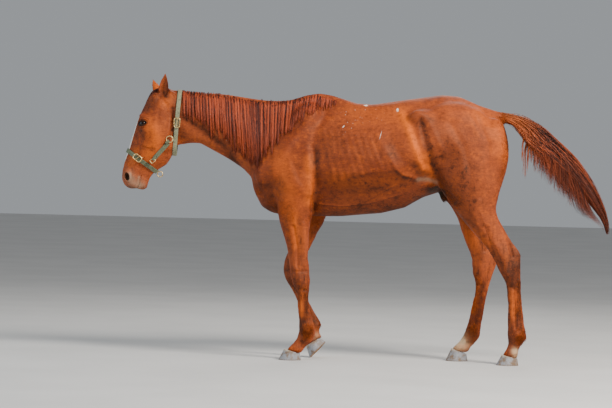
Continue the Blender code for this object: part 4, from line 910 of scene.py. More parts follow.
def coatColour(finish, place):
    # the coat's colour with its painted shade and painted highlights, and where no hair covers the skin
    settings = coatSettings
    z = finish.axes(place)[2]
    deep, bright, bare = finish.axes(finish.attribute("marks", "Color"))
    black = finish.attribute("marks", "Alpha")
    legs = 1 - z.step(0.55, 0.95)
    broad = finish.noise(place, 3.1, 3.0)
    patchy = finish.noise(place, 17.0, 4.0, 0.6)
    mottle = finish.noise(place, 44.0, 3.0, 0.6)
    streaks = finish.streaks(place, (62.0, 62.0, 8.0), 4.0, 0.6)
    fleck = finish.streaks(place, (150.0, 150.0, 620.0), 2.0, angles=settings["slant"])
    brushed = finish.streaks(place, (40.0, 40.0, 130.0), 3.0, 0.6, settings["slant"])
    brightShare = (bright * (0.65 + 0.7 * patchy)).low(1.0)
    deepShare = (deep * (0.45 + 1.1 * patchy) + 0.34 * patchy.step(0.54, 0.76)
                 + legs * 0.6 * streaks.step(0.52, 0.72) + 0.34 * mottle.step(0.5, 0.72)).low(1.0)
    colour = finish.mix(broad.step(0.38, 0.66), settings["base"], settings["second"])
    for share, tone in (
            (brightShare, "bright"),
            (0.3 * (1 - patchy.step(0.26, 0.46)), "bright"),
            (legs * 0.45 * (1 - streaks.step(0.3, 0.46)), "bright"),
            (0.24 * (1 - mottle.step(0.3, 0.46)), "bright"),
            (0.22 * (1 - brushed.step(0.28, 0.47)), "bright"),
            (0.3 * brushed.step(0.52, 0.72), "deep"),
            (deepShare, "deep"),
            (0.3 * fleck.step(0.45, 0.75), "deep"),
            (0.2 * (1 - fleck.step(0.25, 0.5)), "bright")):
        colour = finish.mix(share, colour, settings[tone])
    bareShare = (bare * (0.35 + 1.1 * patchy)).low(1.0)
    colour = finish.mix(bareShare, colour, finish.mix(z.step(0.18, 0.3), settings["sock"], settings["bare"]))
    colour = finish.mix(black, colour, settings["black"])
    white = whiteShare(finish, place).high(0.92 * blazeShare(finish, place))
    return finish.mix(white, colour, settings["white"]), bare.high(black)


def whiteShare(finish, place):
    # the near side's few white spots with broken edges, and a sprinkle of freckles on the back
    x, y, z = finish.axes(place)
    wobble = finish.noise(place, 70.0, 2.0, output="Color")
    moved = finish.node("ShaderNodeVectorMath", {"operation": "MULTIPLY_ADD"},
                        [wobble, (0.006, 0.0, 0.006), finish.turned(place, shift=(-0.003, 0.0, -0.003))])
    white = spotShare(finish, moved, whiteSpots[0])
    for spot in whiteSpots[1:]:
        white = white.high(spotShare(finish, moved, spot))
    ragged = finish.streaks(place, (260.0, 60.0, 130.0), 2.0).step(0.3, 0.52)
    freckles = finish.noise(place, 95.0, 1.0).step(0.735, 0.77)
    zone = x.step(-0.2, -0.1) * (1 - x.step(0.02, 0.12)) * z.step(1.3, 1.36) * (1 - z.step(1.44, 1.5))
    return (white * ragged).high(0.75 * freckles * zone) * (1 - y.step(-0.02, 0.0))


def coatFinish(name, strands, glow=0.0):
    # the short coat; strands says how strongly single hairs show, glow how much paler a tuft is painted than
    # the skin, a painted light that offsets the shade the tufts cast on themselves
    settings = coatSettings
    finish = Finish(name, Specular_IOR_Level=settings["specular"],
                    Specular_Tint=(*settings["highlight"], 1.0))
    place = finish.place()
    colour, bald = coatColour(finish, place)
    if glow:
        # tufts painted paler by tone: painted light against their own shade
        colour = finish.mix(glow * finish.attribute("tone"), colour, settings["bright"])
    legs = 1 - finish.axes(place)[2].step(0.8, 0.95)
    slanted = finish.streaks(place, (70.0, 420.0, 560.0), 3.0, 0.6, settings["slant"])
    upright = finish.streaks(place, (480.0, 480.0, 60.0), 3.0, 0.6)
    hairs = slanted * (1 - legs) + upright * legs
    wrinkles = finish.streaks(place, (26.0, 26.0, 44.0), 4.0, 0.55)
    pores = finish.noise(place, 520.0, 2.0)
    surface = finish.bump(wrinkles, settings["wrinkleDepth"], 0.55)
    surface = finish.bump(hairs * (1 - bald) + pores * bald, settings["hairDepth"] * strands, 0.8, surface)
    return finish.wear(colour, settings["roughness"] + 0.16 * hairs - 0.14 * bald, surface)


skinTree = treeOf(skin)


def dressSkin():
    setAttribute(skin.data, "marks", markShares(pointsOf(skin.data), normalsOf(skin.data)))
    skin.data.materials.append(coatFinish("coat", 1.0))
    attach(skin, "root")
    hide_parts(*fleshNodes)
    print("skin: dressed")


dressSkin()


# Hair: closed tapering locks, each with its patch on the unwrap of the skin

unwrapSettings = {"faces": 7000, "patch": 0.003, "margin": 0.004}
hairSettings = {"specular": 0.28, "roughness": 0.42, "grainDepth": 0.0011}


class RootMap:
    # an unwrap of a thinned copy of the skin, which says where a root lies on it
    def __init__(self, skin):
        piece = bpy.data.objects.new("unwrap", skin.data.copy())
        bpy.context.scene.collection.objects.link(piece)
        applyModifier(piece, "DECIMATE", ratio=unwrapSettings["faces"] / len(piece.data.polygons))
        edited(piece, (bpy.ops.uv.smart_project, {"angle_limit": math.radians(66),
                                                  "island_margin": unwrapSettings["margin"]}))
        mesh = piece.data
        mesh.calc_loop_triangles()
        corners = arrayOf(mesh.loop_triangles, "loops", 3, np.int32)
        self.points = pointsOf(mesh)[cornersOf(mesh)[corners]]
        self.uvs = arrayOf(mesh.uv_layers.active.uv, "vector", 2)[corners]
        self.tree = BVHTree.FromPolygons(self.points.reshape(-1, 3).tolist(),
                                         np.arange(corners.size).reshape(-1, 3).tolist())
        bpy.data.objects.remove(piece, do_unlink=True)

    def places(self, roots):
        # by each root's shares of the nearest triangle's corners
        found = np.zeros((len(roots), 2))
        for index, root in enumerate(roots):
            spot, face = self.tree.find_nearest(root)[0::2]
            a, b, c = self.points[face]
            across, up, away = b - a, c - a, np.array(spot) - a
            grid = np.array(((across @ across, across @ up), (across @ up, up @ up)))
            shares = np.linalg.lstsq(grid, np.array((across @ away, up @ away)), rcond=None)[0]
            shares = np.clip(shares, 0.0, 1.0)
            first, second, third = self.uvs[face]
            found[index] = first + shares[0] * (second - first) + shares[1] * (third - first)
        return np.clip(found, 0.003, 0.997)


def lockPiece(name, paths, widths, outward, tones, marks=None, flat=0.45, smooth=True):
    # paths: locks x stations x 3; widths: locks x stations, half widths; outward: the way the flat side faces
    locks, stations = paths.shape[:2]
    along = unit(np.gradient(paths, axis=1))
    across = unit(np.cross(along, outward))
    upward = np.cross(across, along)
    body = stations - 1
    rim = widths[:, :body, None]
    line, across, upward = paths[:, :body], across[:, :body], upward[:, :body]
    ring = np.stack((line - across * rim, line + upward * rim * flat, line + across * rim), axis=2)
    points = np.concatenate((ring.reshape(locks, -1, 3), paths[:, -1:]), axis=1)
    each = points.shape[1]
    faces, patch = [], []
    size = unwrapSettings["patch"]
    for row in range(body - 1):
        for side in range(3):
            after = (side + 1) % 3
            a, b = row * 3 + side, row * 3 + after
            c, d = a + 3, b + 3
            left, right = side / 3 - 0.5, (side + 1) / 3 - 0.5
            low, high = row / body - 0.5, (row + 1) / body - 0.5
            faces += [(a, b, d), (a, d, c)]
            patch += [(left, low), (right, low), (right, high), (left, low), (right, high), (left, high)]
    last = (body - 1) * 3
    for side in range(3):
        faces.append((last + side, last + (side + 1) % 3, body * 3))
        high = (body - 1) / body - 0.5
        patch += [(side / 3 - 0.5, high), ((side + 1) / 3 - 0.5, high), (side / 3 - 0.33, 0.5)]
    faces.append((2, 1, 0))
    patch += [(-0.5, -0.5), (-0.2, -0.5), (0.1, -0.5)]
    faces, patch = np.array(faces), np.array(patch) * size
    corners = (faces[None] + (np.arange(locks) * each)[:, None, None]).reshape(-1)
    mesh = bpy.data.meshes.new(name)
    mesh.vertices.add(locks * each)
    mesh.vertices.foreach_set("co", points.astype(np.float32).ravel())
    mesh.loops.add(len(corners))
    mesh.loops.foreach_set("vertex_index", corners.astype(np.int32))
    mesh.polygons.add(len(corners) // 3)
    mesh.polygons.foreach_set("loop_start", np.arange(0, len(corners), 3, dtype=np.int32))
    mesh.update(calc_edges=True)
    mesh.validate()
    setMap(mesh, "OFBake", rootMap.places(paths[:, 0])[:, None] + patch[None])
    setAttribute(mesh, "tone", np.repeat(tones, each))
    reach = np.concatenate((np.repeat(np.arange(body) / body, 3), [1.0]))
    setAttribute(mesh, "reach", np.tile(reach, locks))
    if marks is not None:
        setAttribute(mesh, "marks", np.repeat(marks, each, axis=0))
    piece = bpy.data.objects.new(name, mesh)
    bpy.context.scene.collection.objects.link(piece)
    if smooth:
        makeActive(piece)
        bpy.ops.object.shade_smooth()
    print(name + ":", locks, "locks,", len(mesh.polygons), "triangles")
    return piece


rootMap = RootMap(skin)


def hairFinish(name, settings):
    # long hair: fine dark lines along each lock with painted highlights between them, tone by lock, brighter
    # or darker ends, and on the tail a painted highlight near its root
    finish = Finish(name, Specular_IOR_Level=hairSettings["specular"])
    place = finish.place()
    tone = finish.attribute("tone")
    reach = finish.attribute("reach")
    grain = finish.streaks(place, settings["grain"], 3.0, 0.6)
    colour = finish.mix(tone.step(0.05, 0.95), settings["dark"], settings["light"])
    colour = finish.mix(settings["endShare"] * reach.step(0.25, 1.0), colour, settings["end"])
    colour = finish.mix(0.55 * grain.step(0.5, 0.8), colour, settings["dark"])
    # painted highlights along the grain
    colour = finish.mix(0.35 * (1 - grain.step(0.22, 0.45)), colour, settings["shine"])
    # painted highlight on the tail near its root
    if "start" in settings:
        rest = finish.axes(place)[0].step(*settings["start"])
        colour = finish.mix(settings["startShare"] * (1 - rest), colour, settings["shine"])
    surface = finish.bump(grain, hairSettings["grainDepth"], 0.8)
    return finish.wear(colour, hairSettings["roughness"] + 0.2 * grain, surface)


def strandWidths(settings, count):
    # half widths along each strand: its own thickness, and thinner towards the tip
    shape = np.linspace(0.0, 1.0, settings["stations"])
    least, more = settings["thick"]
    widths = settings["halfWidth"] * (least + more * dice.random((count, 1)))
    return widths * (1.0 - settings["taper"][0] * shape[None] ** settings["taper"][1])


def strandTones(settings, clump, clumps, *additions):
    # dark to light, by clump and then by strand
    tones = dice.uniform(*settings["clumpTones"], clumps)[clump]
    for addition in additions:
        tones = tones + addition
    return np.clip(tones + dice.normal(0.0, settings["toneSpread"], len(clump)), 0.0, 1.0)


# Mane

maneSettings = {
    "pieces": 2, "locks": 2550, "stations": 12,
    "front": -1.092, "back": -0.18, "gap": 0.0165, "halfWidth": 0.0019, "rise": 0.01, "rootBand": 0.016,
    "edge": [(-1.092, 1.43), (-1.04, 1.405), (-0.922, 1.32), (-0.822, 1.245),
             (-0.722, 1.14), (-0.672, 1.105), (-0.62, 1.155), (-0.572, 1.22),
             (-0.5, 1.3), (-0.42, 1.375), (-0.322, 1.455), (-0.202, 1.505)],
    "drift": [(-1.092, 0.02), (-0.9, 0.026), (-0.7, 0.03),
              (-0.55, 0.0), (-0.4, -0.03), (-0.18, -0.034)],
    "layers": (0.0015, 0.01), "thinning": 0.55, "ragged": 0.05, "raggedShare": 0.75,
    "clumpJitter": 0.16, "clumpSpread": 0.75, "clumpEnds": 0.022, "clumpDrift": 0.004, "gather": 0.8,
    "longShare": 0.2, "longer": 0.018, "least": 0.03, "wave": 0.0022, "stray": 0.0017, "rootDepth": 0.009,
    # the middle locks of each clump lighter than its edge locks: painted shade where the clumps part
    "clumpTones": (-0.45, 0.25), "clumpShade": 0.82, "backTone": 0.15, "toneSpread": 0.26,
    "thick": (0.75, 0.5), "taper": (0.8, 1.4),
    "hair": {"dark": colourOf(50, 17, 14), "light": colourOf(180, 76, 38), "end": colourOf(146, 60, 31),
             "endShare": 0.4, "shine": colourOf(212, 108, 58), "grain": (700.0, 500.0, 26.0)},
}


def alongCurve(points, places):
    # z of an edge given as (x, z) points, with rounded corners
    points = np.array(points)
    fine = np.linspace(points[0, 0], points[-1, 0], 200)
    heights = np.interp(fine, points[:, 0], points[:, 1])
    for step in range(3):
        heights[1:-1] = (heights[:-2] + 2 * heights[1:-1] + heights[2:]) / 4
    return np.interp(places, fine, heights)


def sideOf(x, z):
    # how far out the skin's near side lies at a place seen from the side
    hit = skinTree.ray_cast(Vector((x, -0.6, z)), Vector((0.0, 1.0, 0.0)))[0]
    return None if hit is None else hit.y


def crestOf(x):
    # how high the top of the neck lies
    return skinTree.ray_cast(Vector((x, 0.0, 2.0)), Vector((0.0, 0.0, -1.0)))[0].z


def neckSurface(columns, rows):
    # the near side of the neck as a grid: how far out it lies below the crest
    settings = maneSettings
    xs = np.linspace(settings["front"] - 0.03, settings["back"] + 0.03, columns)
    crests = np.array([crestOf(x) for x in xs])
    depths = np.linspace(0.0, 0.48, rows)
    grid = np.zeros((columns, rows))
    for i, x in enumerate(xs):
        last = 0.0
        for j, depth in enumerate(depths):
            out = sideOf(x, crests[i] - 0.0015 - depth)
            last = last if out is None else out
            grid[i, j] = last
    return xs, crests, depths, grid


def gridAt(xs, depths, grid, x, depth):
    # the grid's value between its columns and rows
    fx = np.clip((x - xs[0]) / (xs[1] - xs[0]), 0, len(xs) - 1.001)
    fz = np.clip((depth - depths[0]) / (depths[1] - depths[0]), 0, len(depths) - 1.001)
    i, j = fx.astype(int), fz.astype(int)
    u, v = fx - i, fz - j
    return (grid[i, j] * (1 - u) * (1 - v) + grid[i + 1, j] * u * (1 - v)
            + grid[i, j + 1] * (1 - u) * v + grid[i + 1, j + 1] * u * v)


def manePaths(count):
    # strands from the crest down the near side, gathered into clumps; also how far in its clump each starts
    settings = maneSettings
    xs, crests, depths, grid = neckSurface(110, 60)
    length = settings["back"] - settings["front"]
    clumps = int(length / settings["gap"])
    jitter = dice.normal(0.0, settings["clumpJitter"], clumps)
    centre = settings["front"] + (np.arange(clumps) + 0.5 + jitter) / clumps * length
    full = 1 - settings["thinning"] * ramp(centre, -0.55, settings["back"])
    clump = dice.choice(clumps, count, p=full / full.sum())
    clumpX = centre[clump]
    spread = settings["clumpSpread"]
    rootX = np.clip(clumpX + dice.uniform(-spread, spread, count) * settings["gap"],
                    settings["front"], settings["back"])
    rootY = dice.uniform(-1.0, 1.0, count) * settings["rootBand"] * 0.6 - 0.002
    clumpEnd = dice.normal(0.0, settings["clumpEnds"], clumps)[clump]
    short = dice.exponential(settings["ragged"], count) * (dice.random(count) < settings["raggedShare"])
    edge = alongCurve(settings["edge"], clumpX) + clumpEnd + short
    edge = edge - settings["longer"] * (dice.random(count) < settings["longShare"])
    drift = alongCurve(settings["drift"], clumpX) + dice.normal(0.0, settings["clumpDrift"], clumps)[clump]
    crest = np.interp(rootX, xs, crests)
    fall = np.maximum(crest - edge, settings["least"])
    share = np.linspace(0.0, 1.0, settings["stations"])[None] ** 1.15
    gather = ramp(share, 0.1, 0.75) * settings["gather"] * (1 - 0.55 * ramp(rootX, -0.62, -0.4))[:, None]
    wave = np.sin(share * dice.uniform(3.0, 9.0, (count, 1)) + dice.uniform(0, 6.3, (count, 1)))
    wave = wave * settings["wave"]
    middle = clumpX[:, None] + dice.normal(0.0, settings["stray"], (count, 1))
    x = rootX[:, None] * (1 - gather) + middle * gather
    x = x + drift[:, None] * share * (fall[:, None] / 0.3) + wave * share
    depth = fall[:, None] * share
    inner = 1 - np.abs(rootX - clumpX) / (spread * settings["gap"])
    thin, thick = settings["layers"]
    layer = thin + (thick - thin) * (0.45 * inner[:, None] + 0.55 * dice.random((count, 1)))
    layer = layer * (1 - 0.35 * share)
    out = gridAt(xs, depths, grid, x, depth)
    over = ramp(depth, 0.0, 0.03)
    y = rootY[:, None] * (1 - over) + (out - layer) * over
    lift = settings["rise"] * dice.uniform(0.25, 1.0, (count, 1))
    lift = lift * (1 - 0.75 * ramp(rootX, -0.62, -0.35))[:, None]
    z = crest[:, None] - depth + lift * np.exp(-((depth - 0.004) / 0.02) ** 2)
    z[:, 0] = crest - settings["rootDepth"]
    outward = np.zeros((count, settings["stations"], 3))
    outward[..., 1] = -np.maximum(over, 0.25)
    outward[..., 2] = 1.0 - over
    return np.stack((x, y, z), axis=2), unit(outward), clump, clumps, inner


def makeMane():
    settings = maneSettings
    material = hairFinish("mane", settings["hair"])
    for number in range(settings["pieces"]):
        paths, outward, clump, clumps, inner = manePaths(settings["locks"])
        shape = np.linspace(0.0, 1.0, settings["stations"])
        widths = strandWidths(settings, len(paths)) * (0.35 + 0.65 * ramp(shape, 0.0, 0.18))[None]
        # edge locks darker: painted shade between the clumps
        tones = strandTones(settings, clump, clumps, settings["clumpShade"] * np.clip(inner, 0.0, 1.0),
                            settings["backTone"] * ramp(paths[:, 0, 0], -0.65, -0.35))
        piece = lockPiece(f"mane_{number + 1}", paths, widths, outward, tones)
        piece.data.materials.append(material)
        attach(piece, "root")
        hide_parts("mane")


makeMane()


# Forelock: a thin lock combed down the forehead towards the near eye

forelockSettings = {
    "locks": 560, "stations": 10, "clumps": 15,
    "rootX": (-1.208, -1.168), "rootY": 0.022, "endX": (-1.306, -1.238), "endY": (-0.06, 0.01),
    "halfWidth": 0.0013, "layers": (0.0004, 0.0055), "clumpTones": (0.1, 0.7), "toneSpread": 0.2,
    "thick": (0.7, 0.6), "taper": (0.75, 1.5),
    "hair": {"dark": colourOf(50, 21, 18), "light": colourOf(140, 60, 38), "end": colourOf(96, 42, 30),
             "endShare": 0.4, "shine": colourOf(196, 104, 62), "grain": (420.0, 420.0, 60.0)},
}


def forelockPaths(count):
    # strands laid over the brow from behind its top, by clumps
    settings = forelockSettings
    clump = dice.integers(0, settings["clumps"], count)
    endX = dice.uniform(*settings["endX"], settings["clumps"])[clump] + dice.normal(0.0, 0.0035, count)
    endY = dice.uniform(*settings["endY"], settings["clumps"])[clump] + dice.normal(0.0, 0.003, count)
    rootX = dice.uniform(*settings["rootX"], count)
    rootY = dice.uniform(-settings["rootY"], settings["rootY"], count)
    layer = dice.uniform(*settings["layers"], count)
    paths = np.zeros((count, settings["stations"], 3))
    outward = np.zeros_like(paths)
    for step, share in enumerate(np.linspace(0.0, 1.0, settings["stations"])):
        xs = rootX + (endX - rootX) * share
        ys = rootY + (endY - rootY) * share ** 1.6
        rise = layer * math.sin(math.pi * (0.15 + 0.8 * share)) - 0.002 * (share == 0)
        for lock in range(count):
            spot, normal = skinTree.ray_cast(Vector((xs[lock], ys[lock], 2.0)), Vector((0.0, 0.0, -1.0)))[:2]
            outward[lock, step] = normal
            paths[lock, step] = spot + normal * rise[lock]
    return paths, outward, clump


def makeForelock():
    settings = forelockSettings
    paths, outward, clump = forelockPaths(settings["locks"])
    widths = strandWidths(settings, len(paths))
    tones = strandTones(settings, clump, settings["clumps"])
    piece = lockPiece("forelock", paths, widths, outward, tones)
    piece.data.materials.append(hairFinish("forelock", settings["hair"]))
    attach(piece, "root")


makeForelock()


# Eyelashes: short dark hairs along the upper lids

lashSettings = {
    "lashes": 17, "stations": 6, "length": 0.015, "halfWidth": 0.00035, "from": 0.14, "to": 0.88,
    "hair": {"dark": colourOf(20, 12, 10), "light": colourOf(52, 26, 18), "end": colourOf(24, 14, 12),
             "endShare": 0.3, "shine": colourOf(80, 44, 30), "grain": (300.0, 300.0, 300.0)},
}


def makeLashes():
    settings = lashSettings
    paths, outward = [], []
    for side in (-1, 1):
        centre = np.array(eyeSeat(side)[0])
        axis, forward, up = eyeAxes(side)
        for share in np.linspace(settings["from"], settings["to"], settings["lashes"]):
            turn = math.pi * (share + dice.uniform(-0.015, 0.015))
            ledge = centre + forward * eyeSettings["halfLong"] * math.cos(turn)
            ledge = ledge + up * (eyeSettings["up"] * math.sin(turn) + 0.0012)
            spot = np.array(skinTree.ray_cast(Vector(ledge + axis * 0.06), Vector(-axis))[0])
            length = settings["length"] * dice.uniform(0.7, 1.1)
            fan = forward * (0.35 * math.cos(turn) + dice.uniform(-0.12, 0.12))
            places = np.linspace(0.0, 1.0, settings["stations"])[:, None]
            way = unit((axis * 0.85 + fan - up * 0.45)[None])[0]
            bend = up * 0.3 * length * places ** 2
            paths.append(spot - axis * 0.0008 + way * length * places + bend)
            outward.append(np.tile(up, (settings["stations"], 1)))
    paths, outward = np.array(paths), np.array(outward)
    shape = np.linspace(0.0, 1.0, settings["stations"])
    widths = settings["halfWidth"] * np.tile(1.0 - 0.7 * shape, (len(paths), 1))
    piece = lockPiece("lashes", paths, widths, outward, dice.random(len(paths)))
    piece.data.materials.append(hairFinish("lashes", settings["hair"]))
    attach(piece, "root")


makeLashes()


# Tail

def tailReach():
    # how far the tail's outer shape lies from its middle: up, down and to the side, by share of its length
    shape = treeOf(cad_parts["tail"])
    count = tailSettings["measures"]
    shares = np.linspace(0.0, 1.0, count)
    spots, ups = tailSpine(shares)
    found = np.zeros((count, 3))
    for index, (spot, up) in enumerate(zip(spots, ups)):
        start = Vector((spot[0], 0.0, spot[1]))
        ways = (Vector((up[0], 0.0, up[1])), Vector((-up[0], 0.0, -up[1])), Vector((0.0, 1.0, 0.0)))
        for column, way in enumerate(ways):
            hit = shape.ray_cast(start, way)[0]
            found[index, column] = tailSettings["least"] if hit is None else (hit - start).length
    return shares, smoothed(found, np.stack((np.arange(count - 1), np.arange(1, count)), axis=1), 0.5, 6)


def tailPaths(count, shares, reach):
    # locks from the dock out, spread by clumps over the tail's shape; some fringe its underside
    settings = tailSettings
    stations = np.linspace(0.0, 1.0, settings["stations"])[None]
    clump = dice.integers(0, settings["clumps"], count)
    angle = dice.uniform(0.0, 2 * math.pi, settings["clumps"])
    spread = np.sqrt(dice.random(settings["clumps"])) * 0.9
    start = settings["dockEnd"] * dice.random(count) ** 0.9
    fringe = dice.random(settings["clumps"]) < settings["fringe"]
    clumpEnd = np.where(fringe, dice.uniform(0.36, 0.99, settings["clumps"]),
                        1.02 - 0.14 * dice.random(settings["clumps"]) ** 1.6)
    end = np.clip(clumpEnd[clump] - 0.12 * dice.random(count) ** 1.5, 0.3, 1.0)
    start = np.minimum(start, end - 0.24)
    fall = ramp(stations, settings["fallFrom"], 1.0) ** 1.3 * fringe[clump][:, None]
    lowest = -dice.uniform(0.6, 1.22, settings["clumps"])[clump][:, None]
    share = start[:, None] + (end - start)[:, None] * stations
    spots, ups = tailSpine(share)
    up, down, side = (np.interp(share, shares, reach[:, column]) for column in range(3))
    turn = dice.uniform(0.0, 2 * math.pi, count)
    wide = 1 - start / settings["dockEnd"]
    dock = settings["dockRadii"][1] + wide * (settings["dockRadii"][0] - settings["dockRadii"][1])
    rootUp = (np.sin(turn) + settings["dockLift"]) * dock
    rootSide = np.cos(turn) * dock
    inClump = ramp(stations, 0.15, 0.7) * 0.86
    lean = np.sin(angle[clump])[:, None] * spread[clump][:, None]
    aside = np.cos(angle[clump])[:, None] * spread[clump][:, None]
    ownLean = 0.55 * lean + 0.75 * np.sin(turn)[:, None] * dice.random((count, 1)) ** 0.4
    ownLean = np.clip(ownLean, -0.95, 0.95)
    ownAside = 0.55 * aside + 0.75 * np.cos(turn)[:, None] * dice.random((count, 1)) ** 0.4
    ownAside = np.clip(ownAside, -0.95, 0.95)
    wave = np.sin(stations * dice.uniform(3, 8, (count, 1)) + dice.uniform(0, 6.3, (count, 1)))
    wave = settings["wave"] * wave * stations
    lean = ownLean * (1 - inClump) + lean * inClump + wave
    packed = settings["packed"] * ramp(share, 0.18, 0.55) * (1 - ramp(share, 0.92, 1.0)) * (lean < 0)
    lean = lean * (1 - packed)
    lean = lean * (1 - fall) + (lowest + 0.6 * (ownLean - lean)) * fall
    aside = ownAside * (1 - inClump) + aside * inClump - wave
    freed = ramp(stations, 0.0, 0.22)
    high = np.where(lean > 0, up, down) * lean * freed + rootUp[:, None] * (1 - freed)
    out = side * aside * freed + rootSide[:, None] * (1 - freed)
    paths = np.stack((spots[..., 0] + ups[..., 0] * high, out, spots[..., 1] + ups[..., 1] * high), axis=2)
    outward = np.stack((ups[..., 0] * (lean + 0.05), aside, ups[..., 1] * (lean + 0.05)), axis=2)
    return paths, unit(outward + 1e-4), clump


def wispPaths():
    # thin strands that hang from the underside
    settings = tailSettings
    paths = []
    for x, foot, spread in settings["wisps"]:
        for strand in range(settings["wispLocks"]):
            share = np.interp(x - 0.02, [0.78, 1.083, 1.34], [0.0, 0.46, 0.84]) + dice.uniform(-0.02, 0.02)
            spot = tailSpine(np.array(share))[0]
            stations = np.linspace(0.0, 1.0, settings["stations"])
            low = foot + dice.uniform(0.0, 0.05)
            sway = dice.normal(0.0, spread) + dice.normal(0.0, 0.003) * np.sin(stations * 7)
            lineX = spot[0] + (x - spot[0]) * ramp(stations, 0.0, 0.5) + sway * stations
            lineY = dice.uniform(-0.03, 0.02) * np.ones(len(stations)) + 0.01 * stations * dice.normal()
            paths.append(np.stack((lineX, lineY, spot[1] + (low - spot[1]) * stations), axis=1))
    return np.array(paths)


def makeTail():
    settings = tailSettings
    material = hairFinish("tail", settings["hair"])
    shares, reach = tailReach()
    for number in range(settings["pieces"]):
        paths, outward, clump = tailPaths(settings["locks"], shares, reach)
        if number == 0:
            wisps = wispPaths()
            aside = np.zeros_like(wisps)
            aside[..., 1] = -1.0
            paths, outward = np.concatenate((paths, wisps)), np.concatenate((outward, aside))
            clump = np.concatenate((clump, np.zeros(len(wisps), int)))
        widths = strandWidths(settings, len(paths))
        tones = strandTones(settings, clump, settings["clumps"])
        piece = lockPiece(f"tail_{number + 1}", paths, widths, outward, tones)
        piece.data.materials.append(material)
        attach(piece, "root")
        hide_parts("tail")


makeTail()


# Short coat: flat tufts along the lie of the hair, thick where it breaks the form

tuftSettings = {
    # glow: how much paler the tufts are painted, a painted light against the shade they cast on themselves
    "pieces": 3, "tufts": 16500, "stations": 3, "glow": 0.4,
    "length": 0.0165, "halfWidth": 0.00062, "lift": 0.0005, "sink": 0.0002, "base": 0.004, "flat": 0.14,
    "spare": 1.25, "eyeClear": 0.004, "nostrilClear": 0.006, "stray": 0.16,
    "thick": [  # side, (x, z) points, half width, how much thicker, how much longer
        (0, [(-0.54, 0.905), (-0.45, 0.87)], 0.05, 2.0, 1.2),
        (0, [(-0.28, 0.815), (0.0, 0.815), (0.25, 0.9), (0.4, 0.96)], 0.045, 3.0, 1.3),
        (0, [(-1.09, 1.17), (-0.9, 1.12), (-0.64, 0.99)], 0.04, 2.2, 1.2),
        (0, [(-1.2, 1.13), (-1.145, 1.23)], 0.04, 3.0, 1.2),
        (0, [(-1.3, 1.01), (-1.29, 1.05)], 0.03, 4.0, 1.0),
        (0, [(-0.3, 0.93), (-0.3, 0.84)], 0.04, 3.0, 1.3),
        (0, [(0.4, 1.06), (0.5, 0.95)], 0.05, 2.5, 1.3),
        (0, [(0.8, 1.45), (0.9, 1.45), (0.98, 1.37)], 0.04, 6.0, 1.5),
        (0, [(0.81, 1.33), (0.8, 1.15), (0.78, 1.0)], 0.03, 2.0, 1.2),
        (0, [(-1.15, 1.54), (-1.2, 1.5)], 0.06, 3.0, 1.2),
        (-1, [(-0.322, 0.2), (-0.33, 0.16)], 0.03, 9.0, 1.5),
        (-1, [(-0.33, 0.42), (-0.325, 0.26)], 0.018, 4.0, 1.1),
        (1, [(-0.232, 0.22), (-0.222, 0.18)], 0.03, 9.0, 1.5),
        (-1, [(0.92, 0.19), (0.925, 0.14)], 0.035, 9.0, 1.5),
        (-1, [(0.905, 0.5), (0.905, 0.3)], 0.02, 4.0, 1.2),
        (1, [(0.64, 0.21), (0.645, 0.15)], 0.035, 9.0, 1.5),
        (1, [(0.67, 0.5), (0.655, 0.3)], 0.02, 4.0, 1.2),
        (0, [(-1.2, 1.56), (-1.2, 1.63)], 0.04, 10.0, 0.45),
        (0, [(-1.25, 1.56), (-1.262, 1.61)], 0.03, 10.0, 0.45),
        (-1, [(-0.462, 0.08), (-0.38, 0.062)], 0.012, 14.0, 0.9),
        (1, [(-0.3, 0.14), (-0.222, 0.11)], 0.014, 12.0, 0.9),
        (-1, [(0.812, 0.078), (0.9, 0.06)], 0.012, 14.0, 0.9),
        (1, [(0.53, 0.088), (0.62, 0.064)], 0.012, 14.0, 0.9),
    ],
}


def lieOf(points, normals):
    # which way the hair lies: back and down on the body, down the legs, towards the muzzle on the face
    x, z = points[:, 0], points[:, 2]
    way = np.tile((0.8, 0.0, -0.6), (len(points), 1))
    for here, lie in (
            (1 - ramp(x, -0.7, -0.45), (0.42, 0.0, -0.9)),  # neck
            (ramp(x, 0.45, 0.75), (0.45, 0.0, -0.89)),  # quarters
            (ramp(x, 0.83, 0.9) * (z > 1.25), (0.8, 0.0, -0.55)),  # dock
            (1 - ramp(z, 0.7, 0.92), (0.06, 0.0, -1.0)),  # legs
            (1 - ramp(x, -1.17, -1.12), (-0.2, 0.0, -0.95)),  # head
            (ramp(z, 1.545, 1.57) * (x < skinSettings["earStart"]), (-0.02, 0.0, 1.0))):  # ears
        here = here[:, None]
        way = way * (1 - here) + np.array(lie) * here
    return unit(way - normals * (way * normals).sum(axis=1, keepdims=True))


def thickness(points):
    # how densely the tufts grow at a place, and how much longer they are
    dense, long = np.full(len(points), tuftSettings["base"]), np.ones(len(points))
    for side, line, halfWidth, more, longer in tuftSettings["thick"]:
        share = lineShare(points, side, line, halfWidth)
        dense = np.maximum(dense, more * share)
        long = np.maximum(long, 1 + (longer - 1) * share)
    return dense, long


def scattered(count):
    # roots over the skin, by area and by how thick the coat is there
    corners = cornersOf(skin.data).reshape(-1, 3)
    points, normals = pointsOf(skin.data), normalsOf(skin.data)
    a, b, c = (points[corners[:, k]] for k in range(3))
    area = np.linalg.norm(np.cross(b - a, c - a), axis=1) / 2
    dense, long = thickness((a + b + c) / 3)
    chosen = dice.choice(len(corners), count, p=area * dense / (area * dense).sum())
    u, v = dice.random(count), dice.random(count)
    flip = u + v > 1
    u, v = np.where(flip, 1 - u, u), np.where(flip, 1 - v, v)
    shares = np.stack((1 - u - v, u, v), axis=1)[..., None]
    roots = (points[corners[chosen]] * shares).sum(axis=1)
    return roots, unit((normals[corners[chosen]] * shares).sum(axis=1)), long[chosen]


